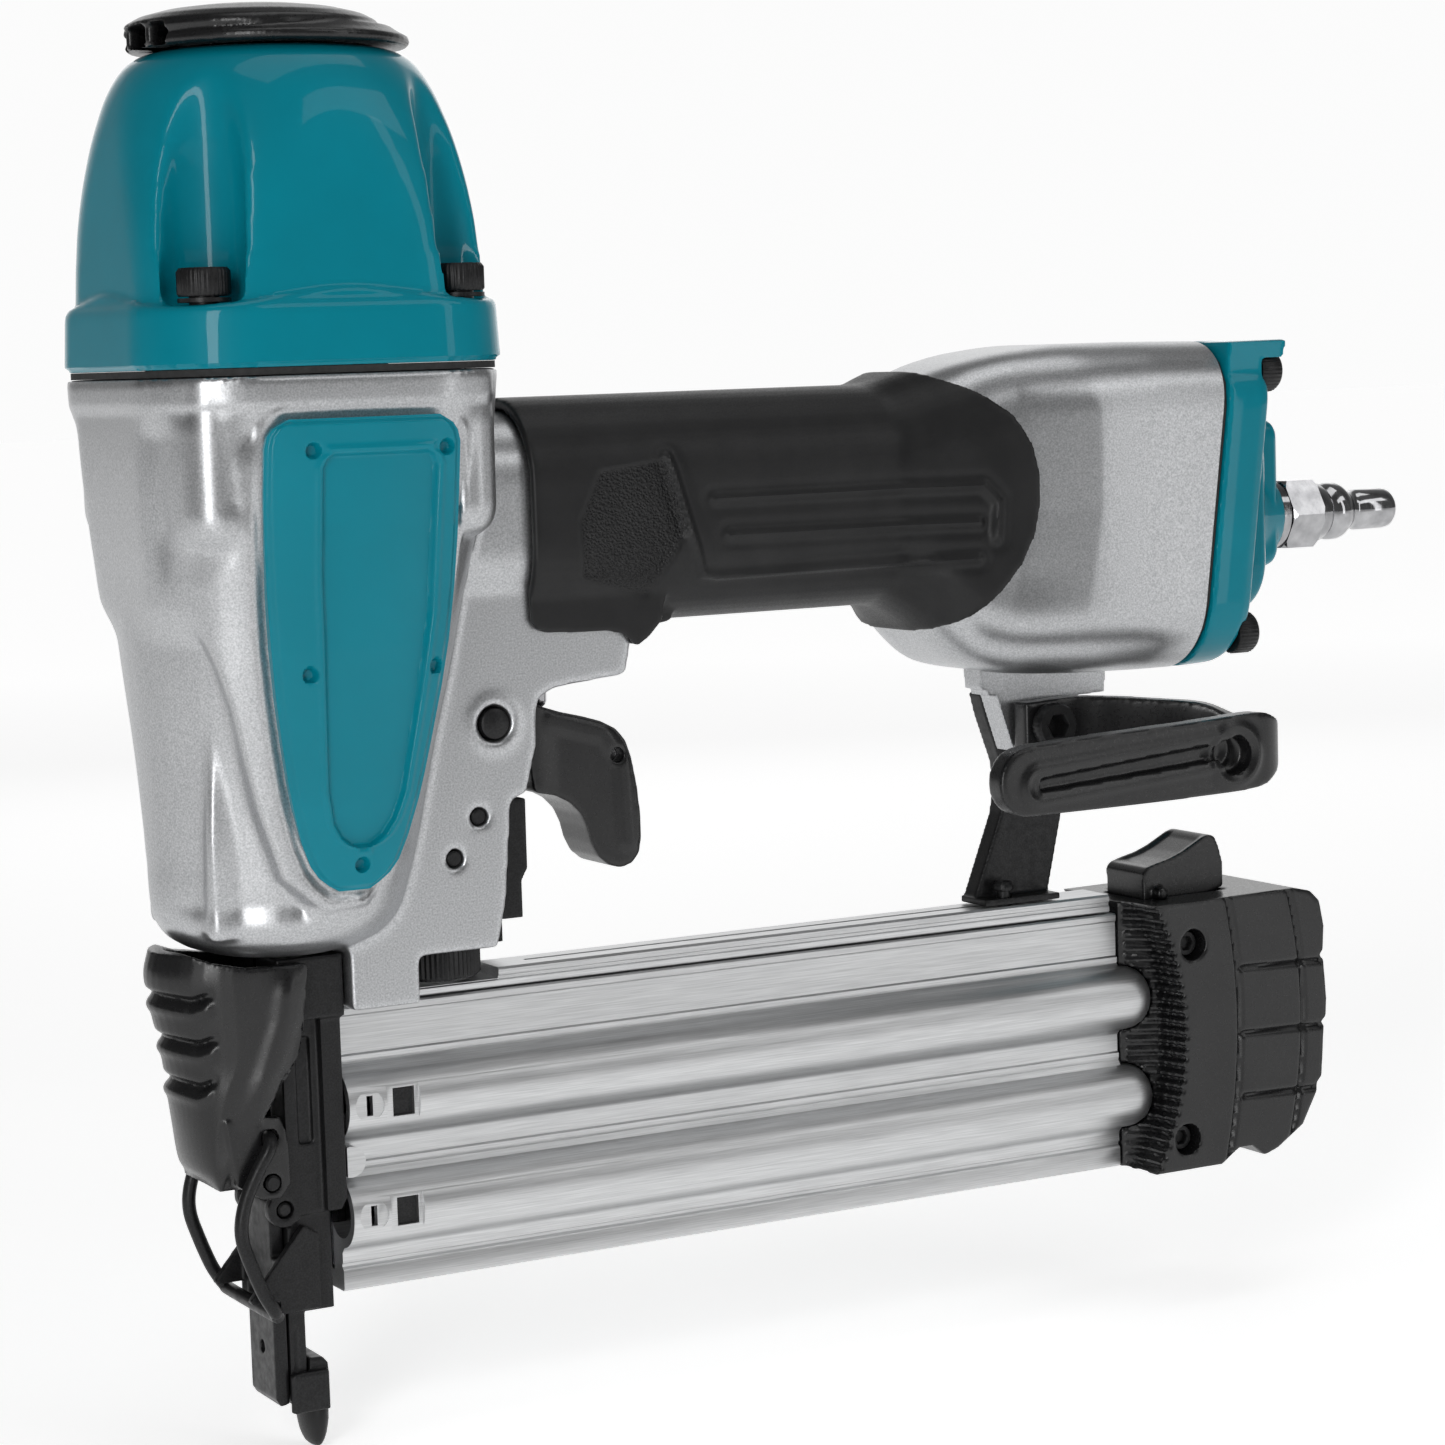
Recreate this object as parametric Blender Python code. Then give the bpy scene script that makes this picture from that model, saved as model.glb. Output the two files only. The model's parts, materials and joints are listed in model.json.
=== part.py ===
"""Pneumatic brad nailer, modelled as an assembly of separate named pieces.

Drawing frame: millimetres, with z = 0 at the seam between the cylinder cap and the housing,
+Z towards the exhaust deflector, +X towards the air plug, and -Y the side with the belt hook.
World frame: metres, with the origin on the cap's axis at the flat top of the deflector bolt.
"""
import math

import bmesh
import bpy
from mathutils import Matrix, Vector

# ---- driving dimensions (mm, drawing frame) ----
MM = 0.001
TOP_Z = 58.7                # flat top of the deflector bolt above the seam
GAP = 0.3                   # clearance between pieces that touch

CAP_HALF, CAP_CORNER = 30.75, 16.5
CAP_TOP = 51.0
FLANGE_TOP = 10.0           # ledge on which the cap screws sit
SCREW_X, SCREW_Y = 21.7, 23.5
SCREW_HOLE = 2.8
BODY_TOP = -1.2

BORE_X = -7.0               # axis of the cylinder bore and of the driver
BORE_R = 15.0
SLEEVE_R = 16.6
BORE_FLOOR = -90.3
VALVE_AXIS = (-2.5, 0)      # axis of the head valve and its seat

HANDLE_TOP, HANDLE_BOTTOM, HANDLE_HALF_Y = -8.6, -43.4, 14.6
GRIP_START = 37.0
REAR_X, REAR_Z, REAR_TILT = 171.5, -28.0, 0.13   # seam plane: x = REAR_X + REAR_TILT (z - REAR_Z)

SPINE_HALF = 12.5
TRIGGER_PIN = (30.3, -60.4)
LEVER_PIN = (56.6, -68.3)
STEM_X = 44.0

MAG_FRONT, MAG_BACK = 2.2, 160.0
MAG_TOP, MAG_BOTTOM = -106.6, -154.7
MAG_HALF = 5.0
BULGE_Z = (-122.6, -141.2)
BULGE_Y, BULGE_R, BULGE_BORE = 4.6, 6.0, 4.4
RAIL_TOP = -103.0
STRIP_BACK = 60.0

LATCH_PIN = (-11.8, -133.2)
BAIL_PIN = (-12.0, -125.7)
DOOR_PIN = (-8.9, -138.6)
BAIL_BAR = (-12.5, -155.2)
WIRE_R = 1.15
GUIDE_HALF = 5.6
PLUG_Z = -34.1

DOWELS = ((27.0, -75.9), (22.3, -82.5))
DIAL_X = 23.8
HOOK_SCREW = (142.0, -69.2)
FOOT_SCREW = (137.0, -2.3)
END_SCREWS = ((170.6, -112.4), (168.6, -149.0))
BUTTON_PIN = (168.6, -103.4)

# ---- material colours: name, base colour, metallic, roughness ----
COLOURS = {
    "cast_silver": ((0.60, 0.61, 0.62), 0.85, 0.38),
    "teal_paint": ((0.0, 0.22, 0.27), 0.0, 0.18),
    "black_rubber": ((0.018, 0.018, 0.019), 0.0, 0.75),
    "black_plastic": ((0.016, 0.016, 0.017), 0.0, 0.42),
    "black_steel": ((0.030, 0.030, 0.031), 0.7, 0.45),
    "bright_steel": ((0.62, 0.62, 0.63), 1.0, 0.22),
    "brushed_aluminium": ((0.66, 0.67, 0.68), 1.0, 0.33),
    "gasket_rubber": ((0.02, 0.02, 0.02), 0.0, 0.8),
    "spring_steel": ((0.42, 0.42, 0.43), 1.0, 0.3),
}
DRAWING_TO_WORLD = Matrix.Scale(MM, 4) @ Matrix.Translation((0.0, 0.0, -TOP_Z))


def material(name):
    """The Principled material of one finish, made once."""
    found = bpy.data.materials.get(name)
    if found:
        return found
    colour, metallic, roughness = COLOURS[name]
    made = bpy.data.materials.new(name)
    made.use_nodes = True
    shader = made.node_tree.nodes["Principled BSDF"]
    shader.inputs["Base Color"].default_value = (*colour, 1.0)
    shader.inputs["Metallic"].default_value = metallic
    shader.inputs["Roughness"].default_value = roughness
    return made


# ---- solid builders: every one returns a bmesh in the drawing frame ----
def close_up(bm):
    bmesh.ops.recalc_face_normals(bm, faces=bm.faces)
    return bm


def loft(rings):
    """Closed body through rings of equal point count, with flat ends."""
    bm = bmesh.new()
    rows = [[bm.verts.new(p) for p in ring] for ring in rings]
    count = len(rows[0])
    for low, high in zip(rows, rows[1:]):
        for i in range(count):
            j = (i + 1) % count
            bm.faces.new((low[i], low[j], high[j], high[i]))
    bm.faces.new(rows[0])
    bm.faces.new(list(reversed(rows[-1])))
    return close_up(bm)


def prism(outline, axis, low, high):
    """Extruded outline. axis Y takes (x, z) points, X takes (y, z), Z takes (x, y)."""
    place = {
        "X": lambda u, v, w: (w, u, v),
        "Y": lambda u, v, w: (u, w, v),
        "Z": lambda u, v, w: (u, v, w),
    }[axis]
    return loft([[place(u, v, w) for u, v in outline] for w in (low, high)])


def box(low, high):
    (x0, y0, z0), (x1, y1, z1) = low, high
    return prism([(x0, y0), (x1, y0), (x1, y1), (x0, y1)], "Z", z0, z1)


def circle(centre, radius, count, start=0.0):
    turn = 2.0 * math.pi / count
    return [
        (centre[0] + radius * math.cos(start + turn * i), centre[1] + radius * math.sin(start + turn * i))
        for i in range(count)
    ]


def arc(centre, radius, start, end, count):
    """Points on an arc between two angles in degrees, ends included."""
    angles = [math.radians(start + (end - start) * i / count) for i in range(count + 1)]
    return [(centre[0] + radius * math.cos(a), centre[1] + radius * math.sin(a)) for a in angles]


def lathe(profile, axis, centre, count=24):
    """Turned body. profile is a closed loop of (radius, height); axis is X, Y or Z."""
    place = {
        "X": lambda r, s, h: (h, centre[0] + r, centre[1] + s),
        "Y": lambda r, s, h: (centre[0] + r, h, centre[1] + s),
        "Z": lambda r, s, h: (centre[0] + r, centre[1] + s, h),
    }[axis]
    bm = bmesh.new()
    rows = []
    for radius, height in profile:
        if radius < 1e-6:
            rows.append([bm.verts.new(place(0.0, 0.0, height))] * count)
        else:
            rows.append([bm.verts.new(place(u, v, height)) for u, v in circle((0, 0), radius, count)])
    for first, second in zip(rows, rows[1:] + rows[:1]):
        for i in range(count):
            j = (i + 1) % count
            corners = []
            for vert in (first[i], first[j], second[j], second[i]):
                if vert not in corners:
                    corners.append(vert)
            if len(corners) > 2:
                bm.faces.new(corners)
    return close_up(bm)


def rod(axis, centre, radius, low, high, count=16):
    return prism(circle(centre, radius, count), axis, low, high)


def sweep(path, radius, sides):
    """Round wire along a path, with flat ends and no twist."""
    points = [Vector(p) for p in path]
    rings = []
    side = None
    for i, point in enumerate(points):
        before, after = points[max(i - 1, 0)], points[min(i + 1, len(points) - 1)]
        along = (after - before).normalized()
        if side is None:
            side = along.orthogonal().normalized()
        side = (side - along * side.dot(along)).normalized()
        other = along.cross(side)
        turns = [2 * math.pi * k / sides for k in range(sides)]
        rings.append([point + radius * (side * math.cos(t) + other * math.sin(t)) for t in turns])
    return loft(rings)


def helix(axis, centre, radius, low, high, turns, per_turn=9):
    """Centre line of a coil spring."""
    steps = int(turns * per_turn)
    path = []
    for i in range(steps + 1):
        angle = 2.0 * math.pi * i / per_turn
        height = low + (high - low) * i / steps
        u, v = radius * math.cos(angle), radius * math.sin(angle)
        if axis == "Z":
            path.append((centre[0] + u, centre[1] + v, height))
        else:
            path.append((height, centre[0] + u, centre[1] + v))
    return path


def scratch_object(bm):
    mesh = bpy.data.meshes.new("scratch")
    bm.to_mesh(mesh)
    bm.free()
    made = bpy.data.objects.new("scratch", mesh)
    bpy.context.scene.collection.objects.link(made)
    return made


def combine(base, *steps):
    """Apply Booleans in order; each step is ("cut" or "add", bmesh)."""
    target = scratch_object(base)
    tools = []
    for kind, tool in steps:
        tool_object = scratch_object(tool)
        tools.append(tool_object)
        modifier = target.modifiers.new(kind, "BOOLEAN")
        modifier.operation = "DIFFERENCE" if kind == "cut" else "UNION"
        modifier.solver = "EXACT"
        modifier.object = tool_object
    evaluated = target.evaluated_get(bpy.context.evaluated_depsgraph_get())
    result = bmesh.new()
    result.from_mesh(evaluated.to_mesh())
    evaluated.to_mesh_clear()
    for used in (target, *tools):
        mesh = used.data
        bpy.data.objects.remove(used)
        bpy.data.meshes.remove(mesh)
    bmesh.ops.remove_doubles(result, verts=result.verts, dist=0.0005)
    bmesh.ops.dissolve_degenerate(result, edges=result.edges, dist=0.0005)
    return result


def put(name, bm, finish, origin=(0.0, 0.0, TOP_Z)):
    """Make the named object in metres, with its origin at the given drawing point."""
    mesh = bpy.data.meshes.new(name)
    bm.transform(Matrix.Translation(-Vector(origin)))
    bm.transform(Matrix.Scale(MM, 4))
    bm.to_mesh(mesh)
    bm.free()
    mesh.materials.append(material(finish))
    mesh.shade_smooth()
    mesh.set_sharp_from_angle(angle=math.radians(35))
    made = bpy.data.objects.new(name, mesh)
    made.location = DRAWING_TO_WORLD @ Vector(origin)
    bpy.context.scene.collection.objects.link(made)
    return made


# ---- shared section shapes ----
def blend(table, value):
    """Read a table of rows (key, ...) at value, straight between rows."""
    rows = sorted(table)
    if value <= rows[0][0]:
        return rows[0][1:]
    for first, second in zip(rows, rows[1:]):
        if value <= second[0]:
            share = (value - first[0]) / (second[0] - first[0])
            return tuple(a + (b - a) * share for a, b in zip(first[1:], second[1:]))
    return rows[-1][1:]


def rounded_square(centre_x, half, corner, z, per_corner=7):
    """Ring in plan with round corners."""
    ring = []
    for quarter in range(4):
        sign_x = (1, -1, -1, 1)[quarter]
        sign_y = (1, 1, -1, -1)[quarter]
        centre = (centre_x + sign_x * (half - corner), sign_y * (half - corner))
        ring += arc(centre, corner, 90 * quarter, 90 * quarter + 90, per_corner - 1)
    return [(x, y, z) for x, y in ring]


def upright_ring(x, top, bottom, half_y, corner, lean=0.0, per_corner=5):
    """Ring across the handle, with round corners, in a plane that leans along X."""
    middle, half_z = (top + bottom) / 2.0, (top - bottom) / 2.0
    ring = []
    for quarter in range(4):
        sign_y = (1, -1, -1, 1)[quarter]
        sign_z = (1, 1, -1, -1)[quarter]
        centre = (sign_y * (half_y - corner), middle + sign_z * (half_z - corner))
        ring += arc(centre, corner, 90 * quarter, 90 * quarter + 90, per_corner - 1)
    return [(x + lean * (z - REAR_Z), y, z) for y, z in ring]


# z, centre x, half size, corner radius of the barrel
BARREL = [
    (-96.0, -4.9, 11.0, 10.9), (-94.6, -4.9, 15.5, 15.4), (-92.0, -4.9, 19.2, 19.1), (-88.0, -4.8, 21.3,
            21.0),
    (-78.7, -4.0, 22.3, 20.2), (-63.6, -3.2, 23.8, 19.3), (-50.0, -2.4, 25.6, 18.7), (-37.0, -1.7, 27.2,
            18.1),
    (-26.0, -1.1, 28.8, 17.4), (-14.0, -0.4, 30.1, 17.0), (BODY_TOP, 0.0, CAP_HALF, CAP_CORNER),
]
# x, top z, bottom z, half width, corner radius of the handle tube and the rear housing
HANDLE = [
    (8.0, HANDLE_TOP, HANDLE_BOTTOM, HANDLE_HALF_Y, 12.0), (108.0, HANDLE_TOP, HANDLE_BOTTOM, HANDLE_HALF_Y,
                                                            12.0),
    (114.0, -7.0, -46.5, 16.5, 12.5), (119.0, -5.2, -53.0, 18.2, 13.0), (126.0, -3.0, -57.8, 20.2, 13.0),
    (136.0, -1.2, -59.6, 22.0, 13.0), (148.0, -0.3, -60.2, 23.0, 12.5), (160.0, -0.3, -60.4, 23.3, 12.0),
]


def make_housing():
    barrel = loft([rounded_square(cx, half, corner, z) for z, cx, half, corner in BARREL])
    rings = [upright_ring(*row) for row in HANDLE]
    rings.append(upright_ring(REAR_X, -0.6, -60.4, 23.3, 12.0, REAR_TILT))
    bracket = prism(
        [(0, -20), (56.7, -20), (56.7, -48.1), (55.4, -53.9), (42.1, -55.2), (38.6, -56.9), (38.0, -65.1),
         (35.9, -72.7), (33.1, -73.4), (31.4, -90.8), (29.6, -98.2), (15.0, -98.2), (15.0, -106.0),
         (2.6, -106.0), (2.6, -96.0), (0, -93)],
        "Y", -SPINE_HALF, SPINE_HALF)
    lug = prism(
        [(130.5, -56), (131.3, -63.0), (133.6, -63.8), (137.2, -74.2), (146.5, -74.2), (148.5, -67.5),
         (158.0, -66.0), (158.5, -56)],
        "Y", -6.0, -0.2)
    spring_ear = box((17.0, 11.0, -80.0), (23.0, 16.8, -77.0))
    inner = [(x, top - 3.0, bottom + 3.0, half - 3.0, corner - 3.0) for x, top, bottom, half,
             corner in HANDLE]
    hollow = [upright_ring(*row) for row in inner[:-1]]
    hollow.append(upright_ring(REAR_X + 2.0, -8.5, -52.5, 15.5, 9.0, REAR_TILT))
    steps = [("add", loft(rings)), ("add", bracket), ("add", lug), ("add", spring_ear)]
    steps.append(("cut", rod("Z", (BORE_X, 0), SLEEVE_R + GAP, BORE_FLOOR, 5, 24)))
    steps.append(("cut", rod("Z", VALVE_AXIS, 22.0, -46.0, 5, 24)))
    steps.append(("cut", loft(hollow)))
    steps.append(("cut", rod("Z", (BORE_X, 0), 6.0, -110, -80, 16)))
    steps.append(("cut", box((24.9, -6.3, -72.0), (70, 6.3, -54.6))))
    steps.append(("cut", box((29.2, -6.3, -110), (70, 6.3, -71.0))))
    steps.append(("cut", rod("Z", (STEM_X, 0), 7.9, -60, -38, 20)))
    steps.append(("cut", rod("Y", TRIGGER_PIN, 2.95, -20, 20, 16)))
    for x, z in DOWELS:
        steps.append(("cut", rod("Y", (x, z), 1.6, -20, 20, 10)))
    steps.append(("cut", rod("Z", (DIAL_X, 0), 2.8, -110, -86, 12)))
    for sx in (-1, 1):
        for sy in (-1, 1):
            steps.append(("cut", rod("Z", (sx * SCREW_X, sy * SCREW_Y), SCREW_HOLE, -16, 5, 12)))
    for y, z in rear_screw_places():
        steps.append(("cut", rod("X", (y, z), 2.1, 150, 200, 10)))
    steps.append(("cut", rod("Y", HOOK_SCREW, 2.4, -10, 5, 12)))
    for side in (-1, 1):
        steps.append(("cut", badge_body(side, 0.9, -1.0, 6.0)))
    put("main_body", combine(barrel, *steps), "cast_silver")


def rear_screw_places():
    return [(sy * 17.6, z) for sy in (-1, 1) for z in (-6.4, -54.4)]


def seat_x(z):
    """Where a rear screw's head sits on the leaning end cap."""
    return 181.0 + REAR_TILT * (z - REAR_Z)


def make_cap():
    flange = [(0.0, CAP_HALF, CAP_CORNER), (9.0, 30.4, CAP_CORNER), (FLANGE_TOP, 29.9, CAP_CORNER)]
    dome = [(10.6, 29.5, 16.8), (16.7, 29.4, 17.6), (21.5, 29.3, 18.4), (28.0, 29.0, 20.5),
            (35.9, 28.2, 23.4),
            (42.3, 26.9, 25.2), (46.4, 25.2, 24.9), (49.4, 22.8, 22.7), (CAP_TOP, 19.6, 19.5)]
    body = loft([rounded_square(0.0, half, corner, z) for z, half, corner in flange + dome])
    steps = [("cut", rod("Z", VALVE_AXIS, 20.5, -5, 32, 24)), ("cut", rod("Z", VALVE_AXIS, 12.5, 30, 44, 20))]
    for sx in (-1, 1):
        for sy in (-1, 1):
            steps.append(("cut", rod("Z", (sx * SCREW_X, sy * SCREW_Y), 6.9, FLANGE_TOP, 60, 16)))
            steps.append(("cut", rod("Z", (sx * SCREW_X, sy * SCREW_Y), SCREW_HOLE, -5, 20, 12)))
    steps.append(("cut", rod("Z", (0, 0), 2.6, 40, 60, 12)))
    for i in range(4):
        angle = math.radians(45 + 90 * i)
        steps.append(("cut", rod("Z", (9 * math.cos(angle) - 1.5, 9 * math.sin(angle)), 2.6, 40, 60, 12)))
    put("cylinder_cap", combine(body, *steps), "teal_paint")

    gasket = loft([rounded_square(0.0, 30.3, CAP_CORNER, z) for z in (-0.9, -GAP)])
    holes = [("cut", rod("Z", VALVE_AXIS, 22.0, -5, 5, 24))]
    for sx in (-1, 1):
        for sy in (-1, 1):
            holes.append(("cut", rod("Z", (sx * SCREW_X, sy * SCREW_Y), SCREW_HOLE, -5, 5, 12)))
    put("cap_gasket", combine(gasket, *holes), "gasket_rubber")

    index = 1
    for sx in (-1, 1):
        for sy in (-1, 1):
            profile = [(0, -14.0), (2.4, -14.0), (2.4, 10.3), (4.3, 10.3), (4.25, 15.7), (2.2, 15.7),
                       (2.2, 13.0),
                       (0, 12.6)]
            put(f"cap_screw_{index}", lathe(profile, "Z", (sx * SCREW_X, sy * SCREW_Y), 14), "black_steel")
            index += 1

    deflector = lathe(
        [(2.9, 54.5), (2.9, 57.0), (5.3, 57.0), (5.3, 58.2), (9.5, 58.2), (15.0, 57.6), (19.3, 56.4),
         (20.6, 54.6),
         (22.8, 54.0), (23.3, 52.6), (22.9, CAP_TOP + GAP), (17.5, CAP_TOP + GAP), (17.0, 54.5)],
        "Z", (0, 0), 32)
    lip = prism(
        arc((0, 0), 24.4, 155, 205, 6) + [(-12, -9), (-12, 9)], "Z", 52.2, 55.6)
    outlet = prism(
        arc((0, 0), 22.6, 160, 200, 4) + [(-14, -7.6), (-14, 7.6)], "Z", 50, 54.0)
    put("exhaust_deflector",
        combine(deflector, ("add", lip), ("cut", outlet), ("cut", box((-30, -7.6, 50), (-19, 7.6, 53.4)))),
        "black_plastic")
    put("deflector_bolt",
        lathe([(0, 46.5), (2.3, 46.5), (2.3, 57.3), (4.9, 57.3), (4.9, 58.4), (4.6, TOP_Z), (0, TOP_Z)],
              "Z", (0, 0), 24), "black_steel")


def make_cylinder():
    axis = (BORE_X, 0)
    put("cylinder_sleeve",
        lathe([(BORE_R, -89.9), (SLEEVE_R, -89.9), (SLEEVE_R, -2.2), (BORE_R, -2.2)], "Z", axis),
        "brushed_aluminium")
    piston = lathe(
        [(0, -12.0), (5.0, -12.0), (6.0, -11.0), (14.6, -10.2), (14.6, -8.4), (13.0, -8.4), (13.0, -6.0),
         (14.6, -6.0), (14.6, -4.0), (0, -4.0)], "Z", axis)
    slot = box((BORE_X - 0.9, -1.4, -14), (BORE_X + 0.9, 1.4, -8.0))
    put("piston", combine(piston, ("cut", slot)), "brushed_aluminium")
    ring = lathe([(13.3, -8.1), (14.7, -8.1), (14.7, -6.3), (13.3, -6.3)], "Z", axis)
    put("piston_o_ring", ring, "gasket_rubber")
    put("driver_blade", box((BORE_X - 0.6, -1.05, -105.2), (BORE_X + 0.6, 1.05, -8.4)), "bright_steel")
    put("bumper",
        lathe([(4.0, BORE_FLOOR + GAP), (14.6, BORE_FLOOR + GAP), (14.6, -86.5), (12.8, -84.0), (14.0, -81.0),
               (13.2, -78.6), (4.0, -78.6)], "Z", axis, 20), "black_rubber")
    put("head_valve",
        lathe([(8.0, -1.6), (19.9, -1.6), (19.9, 9.5), (16.0, 9.5), (16.0, 4.0), (11.8, 4.0), (11.8, 14.0),
               (8.0, 14.0)], "Z", VALVE_AXIS), "black_plastic")
    put("head_valve_spring", sweep(helix("Z", VALVE_AXIS, 14.0, 5.2, 30.9, 3), 0.9, 5), "spring_steel")


# z, left x, right x of the badge outline; its face is a gentle barrel
BADGE = [(-84.0, -1.6, 1.6), (-81.6, -4.4, 4.6), (-76.0, -7.6, 7.9), (-66.0, -10.6, 11.2), (-52.0, -13.1,
        14.6),
         (-36.0, -14.7, 16.6), (-20.5, -15.3, 17.4), (-12.0, -15.1, 17.4), (-9.6, -13.6, 15.7), (-8.6, -11.4,
                 13.4)]
# z, face y, sideways fall per mm squared
BADGE_FACE = [(-90.0, 20.2, 0.018), (-70.0, 24.6, 0.013), (-45.0, 28.2, 0.009), (-5.0, 31.9, 0.004)]


def badge_body(side, grow, back, front, columns=5):
    """Curved plate over the badge outline, from back to front measured out of its face."""
    rings = []
    rows = [(z, left - grow, right + grow) for z, left, right in BADGE]
    rows[0] = (rows[0][0] - grow, *rows[0][1:])
    rows[-1] = (rows[-1][0] + grow, *rows[-1][1:])
    for z, left, right in rows:
        face, fall = blend(BADGE_FACE, z)
        xs = [left + (right - left) * i / columns for i in range(columns + 1)]
        outer = [(x, side * (face + front - fall * (x - 1.0) ** 2), z) for x in xs]
        inner = [(x, side * (face + back - fall * (x - 1.0) ** 2), z) for x in reversed(xs)]
        rings.append(outer + inner)
    return loft(rings)


def make_badges():
    for side, name in ((-1, "side_badge_near"), (1, "side_badge_far")):
        put(name, badge_body(side, 0.4, -0.6, 1.0), "teal_paint")


# height on the straight of the handle, x where the sleeve ends behind it
GRIP_END = [(-46.0, 113.0), (-40.0, 119.5), (-36.0, 124.0), (-30.0, 130.5), (-22.0, 133.0), (-16.0, 131.5),
            (-12.0, 127.0), (-9.0, 120.5), (-6.0, 112.0)]


def make_grip():
    """Rubber sleeve over the handle, its rear edge bowed back over the flare."""
    samples = len(upright_ring(*HANDLE[0]))
    outer, inner = [], []
    steps = 9
    for step in range(steps + 1):
        share = step / steps
        for rings, grow in ((outer, 2.2), (inner, -1.5)):
            ring = []
            for k in range(samples):
                shape = upright_ring(0.0, *grow_row(blend(HANDLE, 60.0), grow))
                end = blend(GRIP_END, shape[k][2])[0]
                x = GRIP_START + (end - GRIP_START) * share
                row = grow_row(blend(HANDLE, x), grow)
                ring.append(upright_ring(x, *row)[k])
            rings.append(ring)
    bm = bmesh.new()
    outside = [[bm.verts.new(p) for p in ring] for ring in outer]
    inside = [[bm.verts.new(p) for p in ring] for ring in inner]
    for rows in (outside, inside):
        for low, high in zip(rows, rows[1:]):
            for i in range(samples):
                j = (i + 1) % samples
                bm.faces.new((low[i], low[j], high[j], high[i]))
    for first, second in ((outside[0], inside[0]), (outside[-1], inside[-1])):
        for i in range(samples):
            j = (i + 1) % samples
            bm.faces.new((first[i], first[j], second[j], second[i]))
    close_up(bm)
    under = box((30, -12.8, -60), (57.0, 12.8, -37.0))
    tongue = prism([(57.3, -44.2), (57.3, -48.5), (59.4, -47.7), (61.5, -45.9), (66.0, -45.0), (66.0, -44.2)],
                   "Y", -10.0, 10.0)
    put("handle_grip",
        combine(bm, ("cut", loft([upright_ring(x, *grow_row(rest, 0.4)) for x, *rest in HANDLE])),
                ("cut", under), ("add", tongue)), "black_rubber")


def grow_row(row, grow):
    top, bottom, half, corner = row
    return top + grow, bottom - grow, half + grow, corner + grow


def make_rear():
    def seam(offset, top, bottom, half, corner, lean=REAR_TILT):
        return upright_ring(REAR_X + offset, top, bottom, half, corner, lean)

    gasket = loft([seam(GAP, -1.2, -59.8, 22.7, 11.5), seam(GAP + 0.7, -1.2, -59.8, 22.7, 11.5)])
    steps = [("cut", loft([seam(-3, -8.5, -52.5, 15.5, 9.0), seam(5, -8.5, -52.5, 15.5, 9.0)]))]
    screws = [("cut", rod("X", place, 2.1, 150, 210, 10)) for place in rear_screw_places()]
    fresh = [("cut", rod("X", place, 2.1, 150, 210, 10)) for place in rear_screw_places()]
    put("rear_gasket", combine(gasket, *steps, *screws), "gasket_rubber")

    start = GAP + 0.7 + GAP
    body = loft([seam(start, -0.6, -60.4, 23.3, 12.0), seam(9.5, -0.8, -60.0, 23.0, 11.5),
                 seam(11.3, -2.4, -58.6, 21.6, 10.5)])
    visor = prism([(165, -0.9), (189.5, -0.7), (188.6, -3.4), (184.0, -8.6), (165, -8.6)], "Y", -12.0, 12.0)
    boss = loft([upright_ring(x, top, bottom, half, 9.0) for x, top, bottom, half in
                 ((170, -12.0, -52.0, 17.0), (187.2, -12.8, -51.0, 16.6), (188.6, -14.2, -49.6, 15.2))])
    cone = lathe([(0, 180), (13.4, 180), (13.4, 188.0), (9.6, 192.6), (7.4, 199.2), (0, 199.2)],
                 "X", (0, PLUG_Z), 20)
    chamber = loft([seam(-1, -8.5, -52.5, 15.5, 9.0), seam(8.0, -12.5, -50.5, 13.5, 8.0)])
    face = [(REAR_X + start + REAR_TILT * (z - REAR_Z), z) for z in (0.0, -60.5)]
    trim = [("cut", prism([(150, 0), *face, (150, -60.5)], "Y", -30, 30))]
    holes = [("cut", rod("X", (0, PLUG_Z), 5.3, 186.0, 205, 16)), ("cut", rod("X", (0, PLUG_Z), 3.0, 165,
            190, 12))]
    seats = [("cut", rod("X", place, 4.4, seat_x(place[1]), 215, 14)) for place in rear_screw_places()]
    put("rear_cap",
        combine(body, ("add", visor), ("add", boss), ("add", cone), *trim, ("cut", chamber), *holes, *fresh,
                *seats),
        "teal_paint")
    for index, (y, z) in enumerate(rear_screw_places(), 1):
        seat = seat_x(z) + GAP
        put(f"rear_cap_screw_{index}",
            lathe([(0, 156.0), (1.8, 156.0), (1.8, seat), (3.9, seat), (3.9, seat + 4.5), (1.9, seat + 4.5),
                   (1.9, seat + 2.2), (0, seat + 1.8)], "X", (y, z), 12), "black_steel")

    hex_part = prism(circle((0, PLUG_Z), 7.4, 6, math.radians(30)), "X", 201.5, 209.4)
    nipple = lathe(
        [(5.0, 190.0), (5.0, 199.4), (6.4, 199.5), (6.4, 202.0), (5.6, 209.0), (4.9, 212.6), (5.4, 213.6),
         (5.4, 216.4), (3.9, 218.4), (3.5, 219.6), (3.9, 221.0), (3.9, 227.6), (3.4, 229.1), (2.4, 229.1),
         (2.4, 190.0)], "X", (0, PLUG_Z), 18)
    bore = rod("X", (0, PLUG_Z), 2.4, 185, 235, 18)
    put("air_plug", combine(nipple, ("add", hex_part), ("cut", bore)), "bright_steel")


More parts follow.
